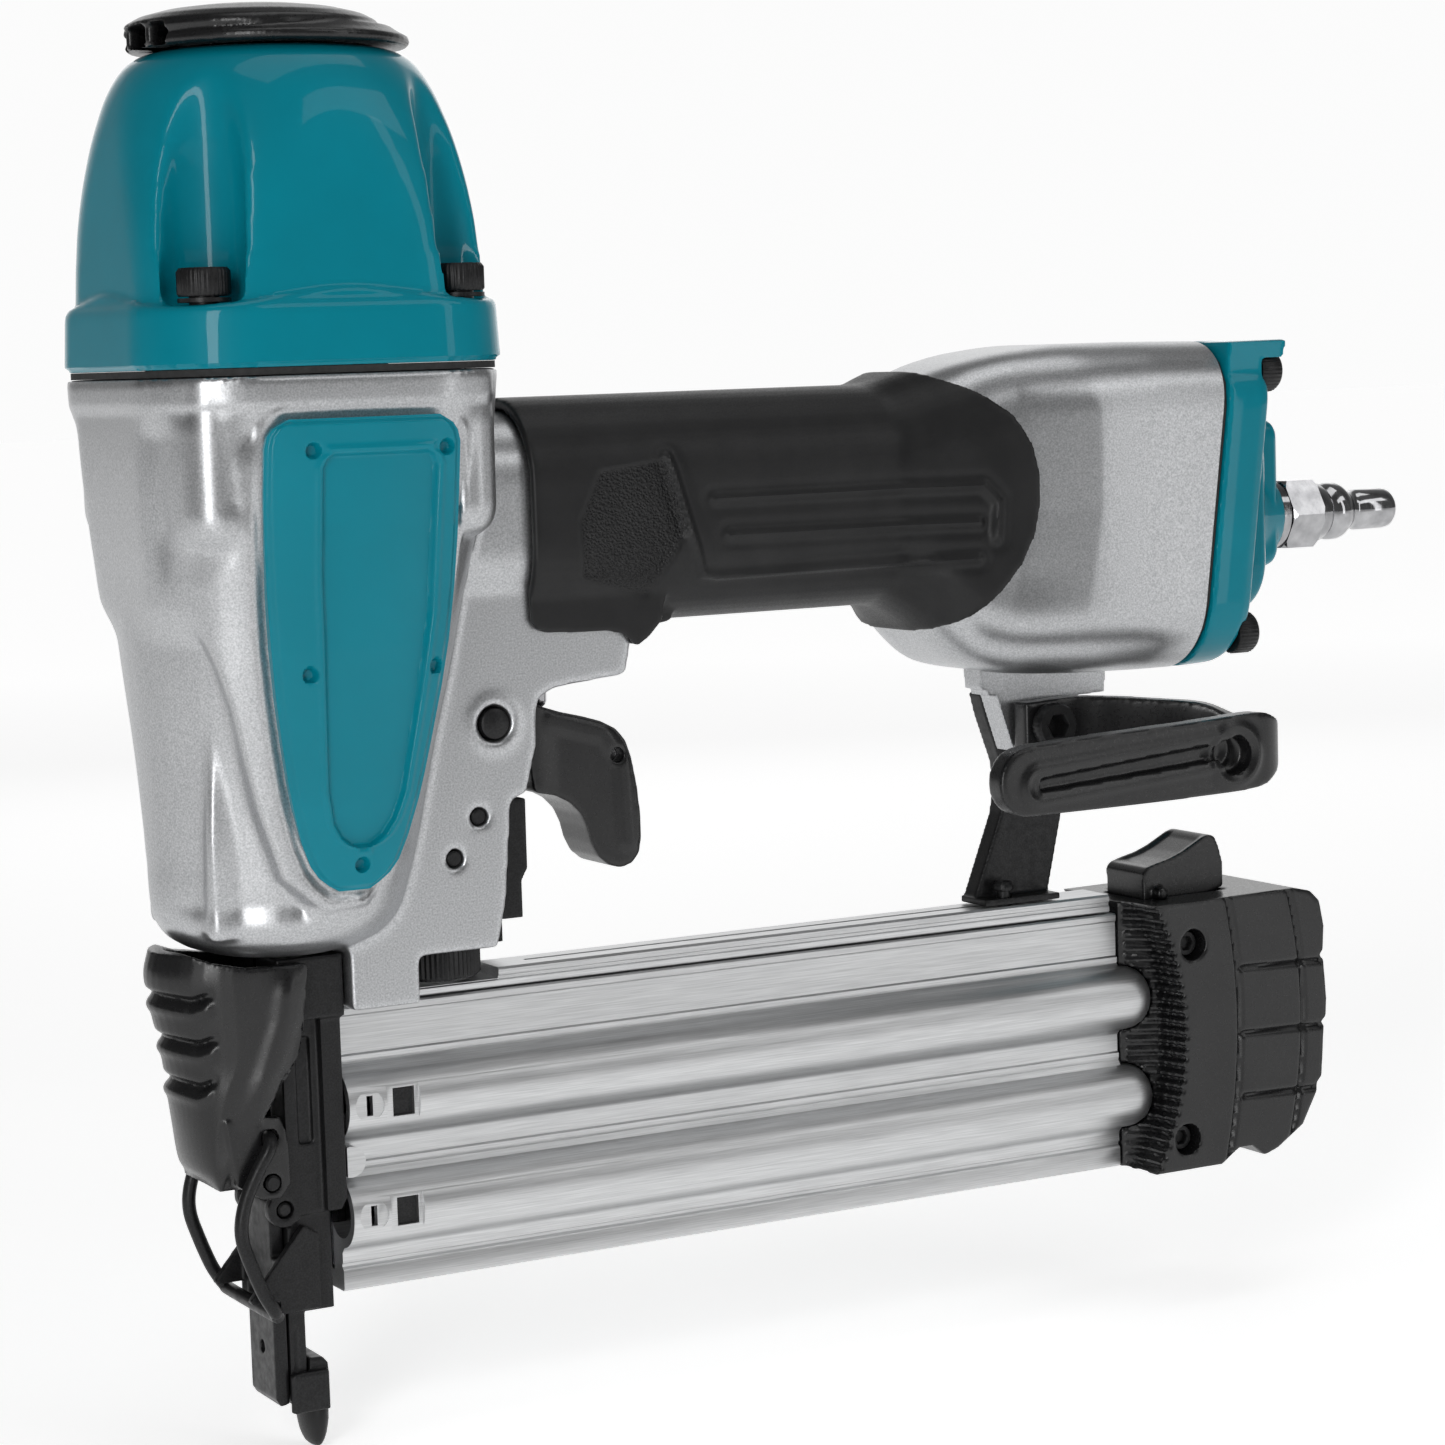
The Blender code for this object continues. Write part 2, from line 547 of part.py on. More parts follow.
def make_trigger():
    px, pz = TRIGGER_PIN
    pivot = (px, 0, pz)
    outline = arc(TRIGGER_PIN, 4.7, 250, 100, 8) + [
        (41.6, -58.6), (46.0, -60.3), (53.2, -62.2), (57.0, -64.4), (58.9, -67.6), (60.3, -74.0),
        (60.6, -83.0),
        (59.4, -86.6), (56.7, -88.0), (53.8, -87.0), (51.4, -84.3), (50.4, -80.6), (48.6, -77.6),
        (44.7, -74.6),
        (40.6, -73.6), (39.8, -69.0), (39.4, -65.6)]
    blade = prism(outline, "Y", -5.9, 5.9)
    slot = prism([(32, -50), (62, -50), (62, -70.8), (54, -72.5), (32, -69.8)], "Y", -2.3, 2.3)
    keep = [("cut", slot), ("cut", rod("Y", TRIGGER_PIN, 2.9, -10, 10, 16)),
            ("cut", rod("Y", LEVER_PIN, 1.35, -10, 10, 12))]
    put("trigger", combine(blade, *keep), "black_plastic", pivot)
    put("trigger_pin",
        lathe([(0, -12.6), (2.6, -12.6), (2.6, 12.6), (0, 12.6)], "Y", TRIGGER_PIN, 16), "black_steel")
    lx, lz = LEVER_PIN
    lever = prism(
        arc(LEVER_PIN, 2.4, -90, 90, 6) + [(50.0, -64.2), (44.0, -62.0), (36.5, -63.4), (36.5, -65.2),
                                           (44.0, -64.2), (50.0, -66.8)], "Y", -1.9, 1.9)
    put("trigger_lever", combine(lever, ("add", rod("Y", LEVER_PIN, 1.05, -5.8, 5.8, 12))), "bright_steel",
        (lx, 0, lz))
    put("valve_body",
        lathe([(2.3, -53.0), (7.5, -53.0), (7.5, -37.0), (2.3, -37.0), (2.3, -39.0), (5.2, -39.0),
               (5.2, -50.4),
               (2.3, -50.4)], "Z", (STEM_X, 0), 20), "bright_steel")
    put("valve_stem",
        lathe([(0, -59.5), (1.6, -59.5), (1.9, -59.0), (1.9, -49.9), (4.6, -49.9), (4.6, -48.7), (1.9, -48.7),
               (1.9, -36.0), (0, -36.0)], "Z", (STEM_X, 0), 12), "bright_steel")
    put("valve_spring", sweep(helix("Z", (STEM_X, 0), 3.4, -48.0, -39.7, 3, 6), 0.4, 4), "spring_steel")
    for index, (x, z) in enumerate(DOWELS, 1):
        put(f"dowel_pin_{index}", rod("Y", (x, z), 1.3, -12.0, 12.0, 10), "black_steel")


def make_nose():
    half = GUIDE_HALF
    upper = prism([(-8.3, -106.8), (-8.3, -130.2), (-12.6, -130.4), (-14.6, -132.0), (-14.6, -134.6),
                   (-12.6, -136.2), (-8.3, -136.2), (-8.3, -139.8), (-0.6, -139.8),
                   (-0.6, -106.8)], "Y", -7.9, 7.9)
    flange = box((-9.5, -10.2, -106.9), (2.2, 10.2, -96.5))
    lower = box((-8.3, -half, -172.3), (-5.3, half, -150.0))
    middle = box((-8.3, -7.0, -156.4), (-0.6, 7.0, -139.0))
    ears = [("add", prism(circle(DOOR_PIN, 3.0, 12), "Y", sy * 6.9 - 1.0, sy * 6.9 + 1.0)) for sy in (-1, 1)]
    rear_rim = box((-2.0, -9.4, -139.5), (1.7, 9.4, -106.8))
    driver_slot = box((-12, -1.4, -180), (-6.1, 1.4, -106.0))
    nail_slot = box((-7, -0.85, -152.0), (5, 0.85, -106.2))
    throat = rod("Z", (BORE_X, 0), 2.4, -110, -90, 12)
    clear = [("cut", prism(circle(LATCH_PIN, 1.6, 12), "Y", -15, 15)),
             ("cut", prism(circle(DOOR_PIN, 1.5, 12), "Y", -15, 15)),
             ("cut", box((-13.0, -5.9, -143.5), (-8.6, 5.9, -136.0))),
             ("cut", box((0.4, -3.6, -139.6), (5.0, 3.6, -107.0)))]
    put("driver_guide",
        combine(upper, ("add", flange), ("add", middle), ("add", lower), ("add", rear_rim), *ears,
                ("cut", driver_slot), ("cut", nail_slot), ("cut", throat), *clear), "black_steel")

    dx, dz = DOOR_PIN
    plate = prism([(-11.0, -140.6), (-10.9, -137.6), (-10.0, -136.8), (-9.5, -137.1), (-8.6, -138.6),
                   (-8.6, -172.0),
                   (-10.2, -172.3), (-11.0, -171.0)], "Y", -half, half)
    tongue = box((-9.2, -1.1, -172.0), (-7.9, 1.1, -143.0))
    wings = []
    for low, high in ((-8.9, -7.4), (7.4, 8.9)):
        wings.append(("add", prism(
            [(-6.2, -141.4), (-16.0, -152.8), (-15.8, -153.4), (-10.3, -153.4), (-10.3, -155.8),
             (-3.6, -155.6),
             (-3.6, -143.0)], "Y", low, high)))
    web = [("add", box((-10.9, -8.9, -155.6), (-8.6, 8.9, -146.8)))]
    put("nose_door",
        combine(plate, ("add", tongue), *wings, *web, ("cut", prism(circle(DOOR_PIN, 1.5, 12), "Y", -15,
                15))),
        "black_steel", (dx, 0, dz))
    put("door_pin", rod("Y", DOOR_PIN, 1.2, -7.8, 7.8, 12), "black_steel")
    put("latch_pin", rod("Y", LATCH_PIN, 1.3, -10.6, 10.6, 12), "black_steel")


def make_latch():
    """Moulded lever that wraps the front of the barrel's foot, with two flat ears at its pin."""
    lx, lz = LATCH_PIN
    # z, front x, side half width, rear x of each side wall
    rows = [(-94.4, -27.2, 13.2, -5.6), (-98.5, -28.2, 13.4, -5.2), (-104.0, -27.4, 13.2, -5.4),
            (-112.0, -25.8, 12.6, -6.4), (-118.0, -25.0, 11.5, -10.8), (-124.5, -24.0, 10.2, -14.2),
            (-130.5, -22.8, 9.6, -15.6), (-134.0, -20.0, 8.0, -16.4)]
    rings = []
    wall = 2.6
    for z, front, half, rear in rows:
        outer = [(rear, half), (rear - 4.0, half)] + [
            (front + (rear - 4.0 - front) * (1 - math.cos(a)), half * math.sin(a))
            for a in (math.radians(t) for t in (64, 40, 14, -14, -40, -64))
        ] + [(rear - 4.0, -half), (rear, -half)]
        inner_half = half - wall
        inner_front = front + wall
        inner = [(rear, -inner_half), (rear - 4.0, -inner_half)] + [
            (inner_front + (rear - 4.0 - inner_front) * (1 - math.cos(a)), inner_half * math.sin(a))
            for a in (math.radians(t) for t in (-64, -40, -14, 14, 40, 64))
        ] + [(rear - 4.0, inner_half), (rear, inner_half)]
        rings.append([(x, y, z) for x, y in outer + inner])
    shell = loft(list(reversed(rings)))
    ears = []
    for low, high in ((-10.3, -8.2), (8.2, 10.3)):
        ears.append(("add", prism(
            [(-19.5, -122.0), (-9.9, -122.4), (-8.9, -125.0), (-8.6, -133.6), (-10.6, -136.0),
             (-13.6, -135.8),
             (-18.0, -133.0)], "Y", low, high)))
    ribs = []
    for z, front in ((-101.5, -28.0), (-108.8, -26.7), (-115.9, -25.6)):
        ribs.append(("cut", prism([(front - 3.0, z - 0.7), (front + 1.0, z), (front - 3.0, z + 0.7)], "Y",
                                  -6.5, 6.5)))
    holes = [("cut", rod("Y", LATCH_PIN, 1.55, -20, 20, 12)), ("cut", rod("Y", BAIL_PIN, 1.5, -20, 20, 12))]
    foot = loft([rounded_square(cx, half_size + 0.8, corner + 0.8, z - 0.7)
                 for z, cx, half_size, corner in BARREL[:5]])
    put("latch_lever", combine(shell, *ears, *ribs, ("cut", foot), *holes), "black_plastic", (lx, 0, lz))

    bx, bz = BAIL_PIN
    ex, ez = BAIL_BAR
    leg = 12.2
    side = [(bx, leg, bz), (bx - 2.6, leg, bz - 4.0), (bx - 6.2, leg, bz - 12.0), (bx - 5.2, leg, bz - 19.0),
            (ex - 1.8, leg, ez + 4.0), (ex, leg - 0.6, ez + 0.3)]
    path = [(bx, 8.9, bz), (bx, leg - 0.5, bz)] + side[1:] + [(ex, leg - 2.2, ez)]
    mirrored = [(x, -y, z) for x, y, z in reversed(path)]
    put("latch_bail", sweep(path + mirrored, WIRE_R, 8), "black_steel", (bx, 0, bz))


def make_contact():
    """Contact arm: foot behind the muzzle, a flat arm up the far side, and the yoke by the trigger."""
    foot = box((-5.0, -5.9, -173.8), (-2.0, 5.9, -164.8))
    tabs = [("add", box((-8.2, sy * 6.55 - 0.65, -173.6), (-2.0, sy * 6.55 + 0.65, -166.8))) for sy in (-1,
            1)]
    holder = [("add", box((-4.0, -5.9, -173.8), (-1.6, 5.9, -165.6)))]
    link = [("add", box((-4.8, 4.0, -169.4), (-2.0, 14.3, -164.8)))]
    upright = [("add", box((-4.6, 12.9, -169.4), (0.4, 14.4, -104.6)))]
    run = [("add", box((-4.6, 12.9, -110.0), (37.6, 14.4, -104.6)))]
    riser = [("add", box((33.6, 12.9, -110.0), (37.6, 14.4, -95.0)))]
    cross = [("add", box((33.6, 3.0, -100.0), (37.6, 14.4, -95.0)))]
    tab = [("add", box((17.2, 12.9, -105.8), (22.8, 16.6, -104.6)))]
    put("contact_arm", combine(foot, *tabs, *holder, *link, *upright, *run, *riser, *cross, *tab),
        "black_steel")
    put("contact_yoke",
        prism([(33.6, -74.2), (38.9, -74.3), (38.8, -86.3), (37.6, -88.4), (37.6, -94.7), (33.6, -94.7)],
              "Y", -5.5, 5.5), "black_steel")
    tip = loft([[(x, y, z) for x, y in circle_box(-2.6, rx, ry)] for z, rx, ry in
                ((-174.1, 2.2, 4.4), (-177.4, 2.1, 4.3), (-179.6, 1.7, 3.8), (-180.8, 1.1, 2.9),
                 (-181.1, 0.6, 2.2))])
    put("no_mar_tip", tip, "black_rubber")
    put("contact_spring", sweep(helix("Z", (20.0, 14.8), 1.35, -104.0, -80.6, 5, 6), 0.3, 4), "spring_steel")
    put("depth_dial",
        lathe([(3.0, -104.1), (7.0, -104.1), (7.3, -103.7), (7.3, -99.1), (7.0, -98.6), (3.0, -98.6)], "Z",
              (DIAL_X, 0), 28), "black_steel", (DIAL_X, 0, -101))
    put("depth_screw",
        lathe([(0, -104.4), (2.7, -104.4), (2.5, -104.0), (2.5, -88.0), (0, -88.0)], "Z", (DIAL_X, 0), 12),
        "bright_steel")


def circle_box(cx, rx, ry):
    return [(cx + rx * math.cos(t), ry * math.sin(t)) for t in (2 * math.pi * k / 16 for k in range(16))]


def magazine_outline():
    """Section of the sliding cover in (y, z): a channel open at the top with two round ribs a side."""
    def rib(sign, z, radius, wall_y, descending):
        reach = math.sqrt(radius ** 2 - (wall_y - BULGE_Y) ** 2)
        angle = math.degrees(math.atan2(reach, wall_y - BULGE_Y))
        points = arc((BULGE_Y, z), radius, angle, -angle, 9)
        points = [(sign * y, h) for y, h in points]
        return points if descending else list(reversed(points))

    near = [(-MAG_HALF, MAG_TOP)]
    for z in BULGE_Z:
        near += rib(-1, z, BULGE_R, MAG_HALF, True)
    far = [(MAG_HALF, MAG_BOTTOM)]
    for z in reversed(BULGE_Z):
        far += rib(1, z, BULGE_R, MAG_HALF, False)
    far.append((MAG_HALF, MAG_TOP))
    inner_far = [(2.4, MAG_TOP)]
    for z in BULGE_Z:
        inner_far += rib(1, z, BULGE_BORE, 2.4, True)
    inner_far.append((2.4, -151.6))
    inner_near = [(-0.95, -151.6)]
    for z in reversed(BULGE_Z):
        inner_near += rib(-1, z, BULGE_BORE, 0.95, False)
    inner_near.append((-0.95, MAG_TOP))
    return near + [(-MAG_HALF, MAG_BOTTOM)] + far + inner_far + inner_near


def make_magazine():
    body = prism(magazine_outline(), "X", MAG_FRONT, MAG_BACK)
    windows = []
    for z in BULGE_Z:
        windows.append(("cut", box((10.0, -16, z - 2.4), (13.8, -5.5, z + 2.4))))
    put("magazine_cover", combine(body, *windows), "brushed_aluminium")

    rail_section = [(-4.5, RAIL_TOP), (4.5, RAIL_TOP), (4.5, -106.3), (2.1, -106.3), (2.1, -150.9),
                    (0.9, -150.9),
                    (0.9, -106.3), (-4.5, -106.3)]
    rail = prism(list(reversed(rail_section)), "X", 2.2, 159.0)
    notch = box((0, -10, -104.9), (33.0, 10, -100))
    front = box((0, -10, -106.4), (15.6, 0.9, -100))
    behind = box((0, 2.1, -107.0), (15.6, 10, -100))
    top_front = box((0, 0, -106.4), (15.6, 5, -100))
    screw = rod("Z", FOOT_SCREW, 1.5, -104.9, -95, 10)
    put("magazine_rail",
        combine(rail, ("cut", screw), ("cut", notch), ("cut", front), ("cut", behind), ("cut", top_front)),
        "brushed_aluminium")

    put("brad_strip", box((-5.6, -0.5, -151.0), (STRIP_BACK, 0.5, -107.0)), "bright_steel")
    plate = box((STRIP_BACK + 0.5, -0.6, -149.5), (STRIP_BACK + 12.0, 0.6, -108.0))
    lugs = []
    for z in BULGE_Z:
        lugs.append(("add", rod("X", (-BULGE_Y, z), 3.9, STRIP_BACK + 2.0, STRIP_BACK + 10.0, 12)))
        lugs.append(("add", box((STRIP_BACK + 2.0, -4.0, z - 1.9), (STRIP_BACK + 10.0, 0.0, z + 1.9))))
    put("nail_pusher", combine(plate, *lugs), "black_steel")
    for z, name in zip(BULGE_Z, ("pusher_spring_upper", "pusher_spring_lower")):
        path = helix("X", (-BULGE_Y, z), 3.2, STRIP_BACK + 10.6, MAG_BACK - 1.5, 7, 6)
        put(name, sweep(path, 0.4, 4), "spring_steel")


def make_end_cap():
    half = 15.0
    core = prism(
        [(160.4, -104.4), (196.0, -104.0), (200.0, -106.6), (201.2, -112.0), (200.4, -117.5), (201.6, -126.0),
         (200.2, -136.0), (199.0, -143.6), (195.6, -149.6), (189.6, -153.4), (186.4, -154.4), (183.6, -152.2),
         (180.4, -152.2), (176.6, -154.8), (160.4, -154.8)], "Y", -half, half)
    flares = []
    for sign in (-1, 1):
        rings = []
        for z in (-102.0, -112.0, -120.0, -129.0, -138.0, -146.0, -157.0):
            bow = max(0.0, 1.0 - ((z + 129.0) / 25.5) ** 2)
            lip = 161.4 + 7.0 * bow
            rings.append([(150, sign * 5.2, z), (160.9, sign * 5.2, z), (lip, sign * (half + 1), z),
                          (150, sign * (half + 1), z)])
        flares.append(("cut", loft(rings)))
    pocket = ("cut", prism([(165.2, -90), (165.2, -107.4), (184.6, -108.6), (184.6, -90)], "Y", -6.6, 6.6))
    holes = [("cut", rod("Y", place, 2.9, -16, -11.0, 14)) for place in END_SCREWS]
    shanks = [("cut", rod("Y", place, 1.8, -13, 8.0, 10)) for place in END_SCREWS]
    pin = ("cut", rod("Y", BUTTON_PIN, 1.5, -9.0, 9.0, 10))
    put("end_cap", combine(core, *flares, pocket, *holes, *shanks, pin), "black_plastic")
    for index, place in enumerate(END_SCREWS, 1):
        put(f"end_cap_screw_{index}",
            lathe([(0, -13.6), (2.6, -13.6), (2.6, -11.3), (1.5, -11.3), (1.5, 7.0), (0, 7.0)], "Y", place,
                  12),
            "black_steel")
    bx, bz = BUTTON_PIN
    button = prism(
        [(165.8, -101.9), (165.9, -99.0), (167.4, -98.1), (172.0, -97.3), (176.6, -95.4), (180.2, -93.6),
         (182.2, -93.9), (184.0, -98.8), (184.0, -103.6), (180.0, -105.0), (165.8, -105.8)],
        "Y", -6.2, 6.2)
    put("latch_button", combine(button, ("add", rod("Y", BUTTON_PIN, 1.2, -8.6, 8.6, 10))), "black_plastic",
        (bx, 0, bz))


def make_hook_and_arm():
    arm = prism(
        [(133.0, -64.0), (137.0, -62.2), (146.0, -62.2), (151.5, -65.0), (153.0, -80.0), (152.0, -87.0),
         (148.3, -102.7), (131.9, -102.7), (138.4, -86.5), (139.2, -81.0), (136.8, -74.5)], "Y", 0.1, 4.3)
    foot = [("add", box((131.9, -4.3, -102.7), (148.3, 4.3, -100.6)))]
    put("rear_arm",
        combine(arm, *foot, ("cut", rod("Y", HOOK_SCREW, 2.4, -10, 8, 12)),
                ("cut", rod("Z", FOOT_SCREW, 1.5, -110, -95, 10))), "black_steel")
    put("arm_screw",
        lathe([(0, -98.6), (1.9, -98.6), (1.9, -100.3), (1.2, -100.3), (1.2, -104.6), (0, -104.6)], "Z",
              FOOT_SCREW, 12), "black_steel")
    # belt hook: a strap bent to a U in plan; rows of x, y, low z, high z along it
    strap = [(137.0, -9.0, -73.6, -65.0), (147.0, -9.2, -74.0, -64.6), (154.0, -12.4, -75.4, -64.8),
             (161.0, -17.0, -77.2, -65.4), (168.0, -22.2, -79.0, -66.2), (172.6, -26.6, -79.8, -66.8),
             (174.4, -31.0, -80.2, -67.0), (172.6, -35.4, -80.4, -67.0), (168.0, -37.2, -80.6, -67.0),
             (155.0, -37.4, -81.0, -67.6), (135.0, -37.4, -81.3, -68.4), (119.0, -37.4, -81.3, -69.5)]
    half_thick = 2.3
    rings = []
    for i, (x, y, low, high) in enumerate(strap):
        before, after = strap[max(i - 1, 0)], strap[min(i + 1, len(strap) - 1)]
        along = Vector((after[0] - before[0], after[1] - before[1])).normalized()
        side = Vector((-along.y, along.x)) * half_thick
        rings.append([(x + side.x, y + side.y, low), (x - side.x, y - side.y, low),
                      (x - side.x, y - side.y, high), (x + side.x, y + side.y, high)])
    tip = prism(circle((119.2, -75.4), 5.8, 14), "Y", -39.6, -35.2)
    eye = rod("Y", (163.0, -73.9), 3.6, -45, -33.4, 14)
    groove = box((121.0, -45, -76.2), (163.0, -38.2, -73.4))
    put("belt_hook",
        combine(loft(rings), ("add", tip), ("cut", eye), ("cut", groove),
                ("cut", rod("Y", HOOK_SCREW, 2.4, -20, 0, 12))), "black_plastic")
    put("hook_screw",
        lathe([(0, -14.4), (4.2, -14.4), (4.2, -11.7), (2.1, -11.7), (2.1, 3.8), (0, 3.8)], "Y", HOOK_SCREW,
              14),
        "black_steel")


def main():
    for old in list(bpy.data.objects):
        bpy.data.objects.remove(old)
    make_housing()
    make_cap()
    make_cylinder()
    make_badges()
    make_grip()
    make_rear()
    make_trigger()
    make_nose()
    make_latch()
    make_contact()
    make_magazine()
    make_end_cap()
    make_hook_and_arm()


main()
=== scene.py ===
"""Pneumatic brad nailer: the looks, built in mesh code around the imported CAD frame.

Shapes are drawn in millimetres in the drawing frame: z = 0 at the seam between cap and housing,
+Z towards the exhaust deflector, +X towards the air plug, and -Y the side with the belt hook.
"""
import json
import math

import bmesh
import bpy
import numpy as np
from mathutils import Matrix, Vector


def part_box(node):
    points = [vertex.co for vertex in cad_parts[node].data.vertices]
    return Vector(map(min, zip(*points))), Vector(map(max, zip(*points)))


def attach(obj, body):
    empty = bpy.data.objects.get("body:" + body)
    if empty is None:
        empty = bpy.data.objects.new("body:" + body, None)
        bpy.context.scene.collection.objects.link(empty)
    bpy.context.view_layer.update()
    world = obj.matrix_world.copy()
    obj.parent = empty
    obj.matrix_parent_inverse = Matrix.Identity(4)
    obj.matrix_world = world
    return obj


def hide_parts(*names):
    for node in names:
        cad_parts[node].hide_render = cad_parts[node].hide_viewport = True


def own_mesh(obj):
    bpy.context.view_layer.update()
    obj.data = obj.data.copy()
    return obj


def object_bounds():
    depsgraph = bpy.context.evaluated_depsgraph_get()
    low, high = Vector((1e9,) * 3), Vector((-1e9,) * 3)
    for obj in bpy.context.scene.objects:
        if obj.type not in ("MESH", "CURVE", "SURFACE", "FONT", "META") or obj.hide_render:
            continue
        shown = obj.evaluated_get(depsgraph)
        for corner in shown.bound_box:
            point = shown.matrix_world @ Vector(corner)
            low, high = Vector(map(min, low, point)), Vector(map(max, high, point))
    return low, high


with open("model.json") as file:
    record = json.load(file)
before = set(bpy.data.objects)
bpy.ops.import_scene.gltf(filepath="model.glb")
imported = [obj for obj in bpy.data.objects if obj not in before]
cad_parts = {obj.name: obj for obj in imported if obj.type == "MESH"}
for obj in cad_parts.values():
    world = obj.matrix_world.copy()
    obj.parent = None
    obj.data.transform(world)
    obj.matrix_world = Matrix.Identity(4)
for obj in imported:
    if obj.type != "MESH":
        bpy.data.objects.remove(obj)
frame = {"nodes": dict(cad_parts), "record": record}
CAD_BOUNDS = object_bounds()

MM = 0.001


def node_box(name):
    """Lowest and highest corner of a CAD node, in drawing millimetres."""
    low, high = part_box(name)
    return [Vector((c.x, c.y, c.z - SEAM)) / MM for c in (low, high)]


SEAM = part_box("cylinder_cap")[0].z
TO_WORLD = Matrix.Translation((0.0, 0.0, SEAM)) @ Matrix.Scale(MM, 4)

CAP_HALF, _, CAP_TOP = node_box("cylinder_cap")[1]
BODY_TOP = -1.2
SCREWS = [(sum(node_box(f"cap_screw_{i}"), Vector()) / 2.0).xy for i in (1, 2, 3, 4)]
COLUMN_PLACES = [place * 0.985 for place in SCREWS]  # screw columns of the casting
HEAD_X = -2.5  # axis of the head valve and its bore
DIAL_X = 23.8  # axis of the depth dial and its screw


# ---------------------------------------------------------------- camera, floor and light
AZIMUTH, PITCH, ROLL = 28.5, 5.82, 1.8
VIEW_LINE = (0.477, 0.879, 0.0)  # level direction from the viewer to the object
CAMERA_PLACE = (-0.2242, -0.5610, -0.0586)


def make_camera():
    azimuth, pitch, roll = math.radians(AZIMUTH), math.radians(PITCH), math.radians(ROLL)
    level = Vector((math.cos(azimuth), -math.sin(azimuth), 0.0))
    ahead = Vector((math.sin(azimuth), math.cos(azimuth), 0.0))
    forward = ahead * math.cos(pitch) - Vector((0.0, 0.0, math.sin(pitch)))
    above = level.cross(forward)
    right = level * math.cos(roll) - above * math.sin(roll)
    up = level * math.sin(roll) + above * math.cos(roll)
    data = bpy.data.cameras.new("camera")
    data.sensor_width = 36.0
    data.lens = 90.46
    data.clip_start, data.clip_end = 0.02, 50.0
    camera = bpy.data.objects.new("camera", data)
    turn = Matrix((right, up, -forward)).transposed().to_4x4()
    camera.matrix_world = Matrix.Translation(CAMERA_PLACE) @ turn
    bpy.context.scene.collection.objects.link(camera)
    bpy.context.scene.camera = camera


# grey of the walls that light the object and show in its gloss, from behind the viewer (0) to behind it (1)
WALLS = ((0.0, 0.16), (0.22, 0.09), (0.45, 0.14), (0.62, 0.09), (0.86, 0.20), (0.945, 0.97), (1.0, 0.97))
BACKDROP = 0.97  # grey seen behind the object, from every side
# glow of the floor from 1 m before the object (0) to 2 m behind it (1)
FLOOR_GLOW = ((0.0, 0.36), (0.14, 0.36), (0.26, 0.60), (0.45, 0.60), (0.85, 0.80), (1.0, 0.80))
# name, place from the middle of the object in metres, width, height, watts
LAMPS = (
    ("key", (-0.62, -0.62, 0.20), 0.17, 0.65, 2.8), ("side", (0.60, -0.80, 0.22), 0.16, 0.8, 0.8),
    ("top", (0.05, -0.10, 0.85), 0.9, 0.4, 1.4), ("rim", (0.35, 0.8, 0.35), 0.8, 0.6, 0.5),
    ("front", (0.42, -0.62, 0.62), 0.8, 0.22, 0.9))


def grey_along(tree, coordinate, reach, stops):
    """Grey that changes along the level line from the viewer through the object."""
    nodes, links = tree.nodes, tree.links
    along = nodes.new("ShaderNodeVectorMath")
    along.operation = "DOT_PRODUCT"
    along.inputs[1].default_value = VIEW_LINE
    links.new(nodes.new("ShaderNodeTexCoord").outputs[coordinate], along.inputs[0])
    share = nodes.new("ShaderNodeMapRange")
    share.inputs["From Min"].default_value, share.inputs["From Max"].default_value = reach
    links.new(along.outputs["Value"], share.inputs["Value"])
    ramp = nodes.new("ShaderNodeValToRGB")
    links.new(share.outputs["Result"], ramp.inputs["Fac"])
    for i, (place, grey) in enumerate(stops):
        stop = ramp.color_ramp.elements[i] if i < 2 else ramp.color_ramp.elements.new(place)
        stop.position = place
        stop.color = (grey, grey, grey, 1)
    return ramp.outputs["Color"]


def make_stage():
    floor_z = CAD_BOUNDS[0].z - 0.0005
    size = 9.0
    mesh = bpy.data.meshes.new("floor")
    corners = [(-size, -size, floor_z), (size, -size, floor_z), (size, size, floor_z), (-size, size, floor_z)]
    mesh.from_pydata(corners, [], [(0, 1, 2, 3)])
    floor = bpy.data.objects.new("floor", mesh)
    bpy.context.scene.collection.objects.link(floor)
    paint = bpy.data.materials.new("floor_paint")
    paint.use_nodes = True
    inputs = paint.node_tree.nodes["Principled BSDF"].inputs
    inputs["Base Color"].default_value = (0.86, 0.86, 0.86, 1)
    inputs["Roughness"].default_value = 0.9
    inputs["Emission Color"].default_value = (1, 1, 1, 1)
    glow = grey_along(paint.node_tree, "Object", (-1.0, 2.0), FLOOR_GLOW)
    paint.node_tree.links.new(glow, inputs["Emission Strength"])
    mesh.materials.append(paint)

    world = bpy.data.worlds.new("studio")
    bpy.context.scene.world = world
    world.use_nodes = True
    nodes, links = world.node_tree.nodes, world.node_tree.links
    backdrop = nodes.new("ShaderNodeMix")
    backdrop.data_type = "RGBA"
    backdrop.inputs["B"].default_value = (BACKDROP, BACKDROP, BACKDROP, 1)
    links.new(grey_along(world.node_tree, "Generated", (-1.0, 1.0), WALLS), backdrop.inputs["A"])
    links.new(nodes.new("ShaderNodeLightPath").outputs["Is Camera Ray"], backdrop.inputs["Factor"])
    links.new(backdrop.outputs["Result"], nodes["Background"].inputs["Color"])

    target = (CAD_BOUNDS[0] + CAD_BOUNDS[1]) / 2.0
    for name, place, size_x, size_y, power in LAMPS:
        light = bpy.data.lights.new(name, "AREA")
        light.shape = "RECTANGLE"
        light.size, light.size_y, light.energy = size_x, size_y, power
        lamp = bpy.data.objects.new(name, light)
        lamp.location = target + Vector(place)
        lamp.rotation_euler = (-Vector(place)).to_track_quat("-Z", "Y").to_euler()
        bpy.context.scene.collection.objects.link(lamp)
    bpy.context.scene.view_settings.view_transform = "Standard"


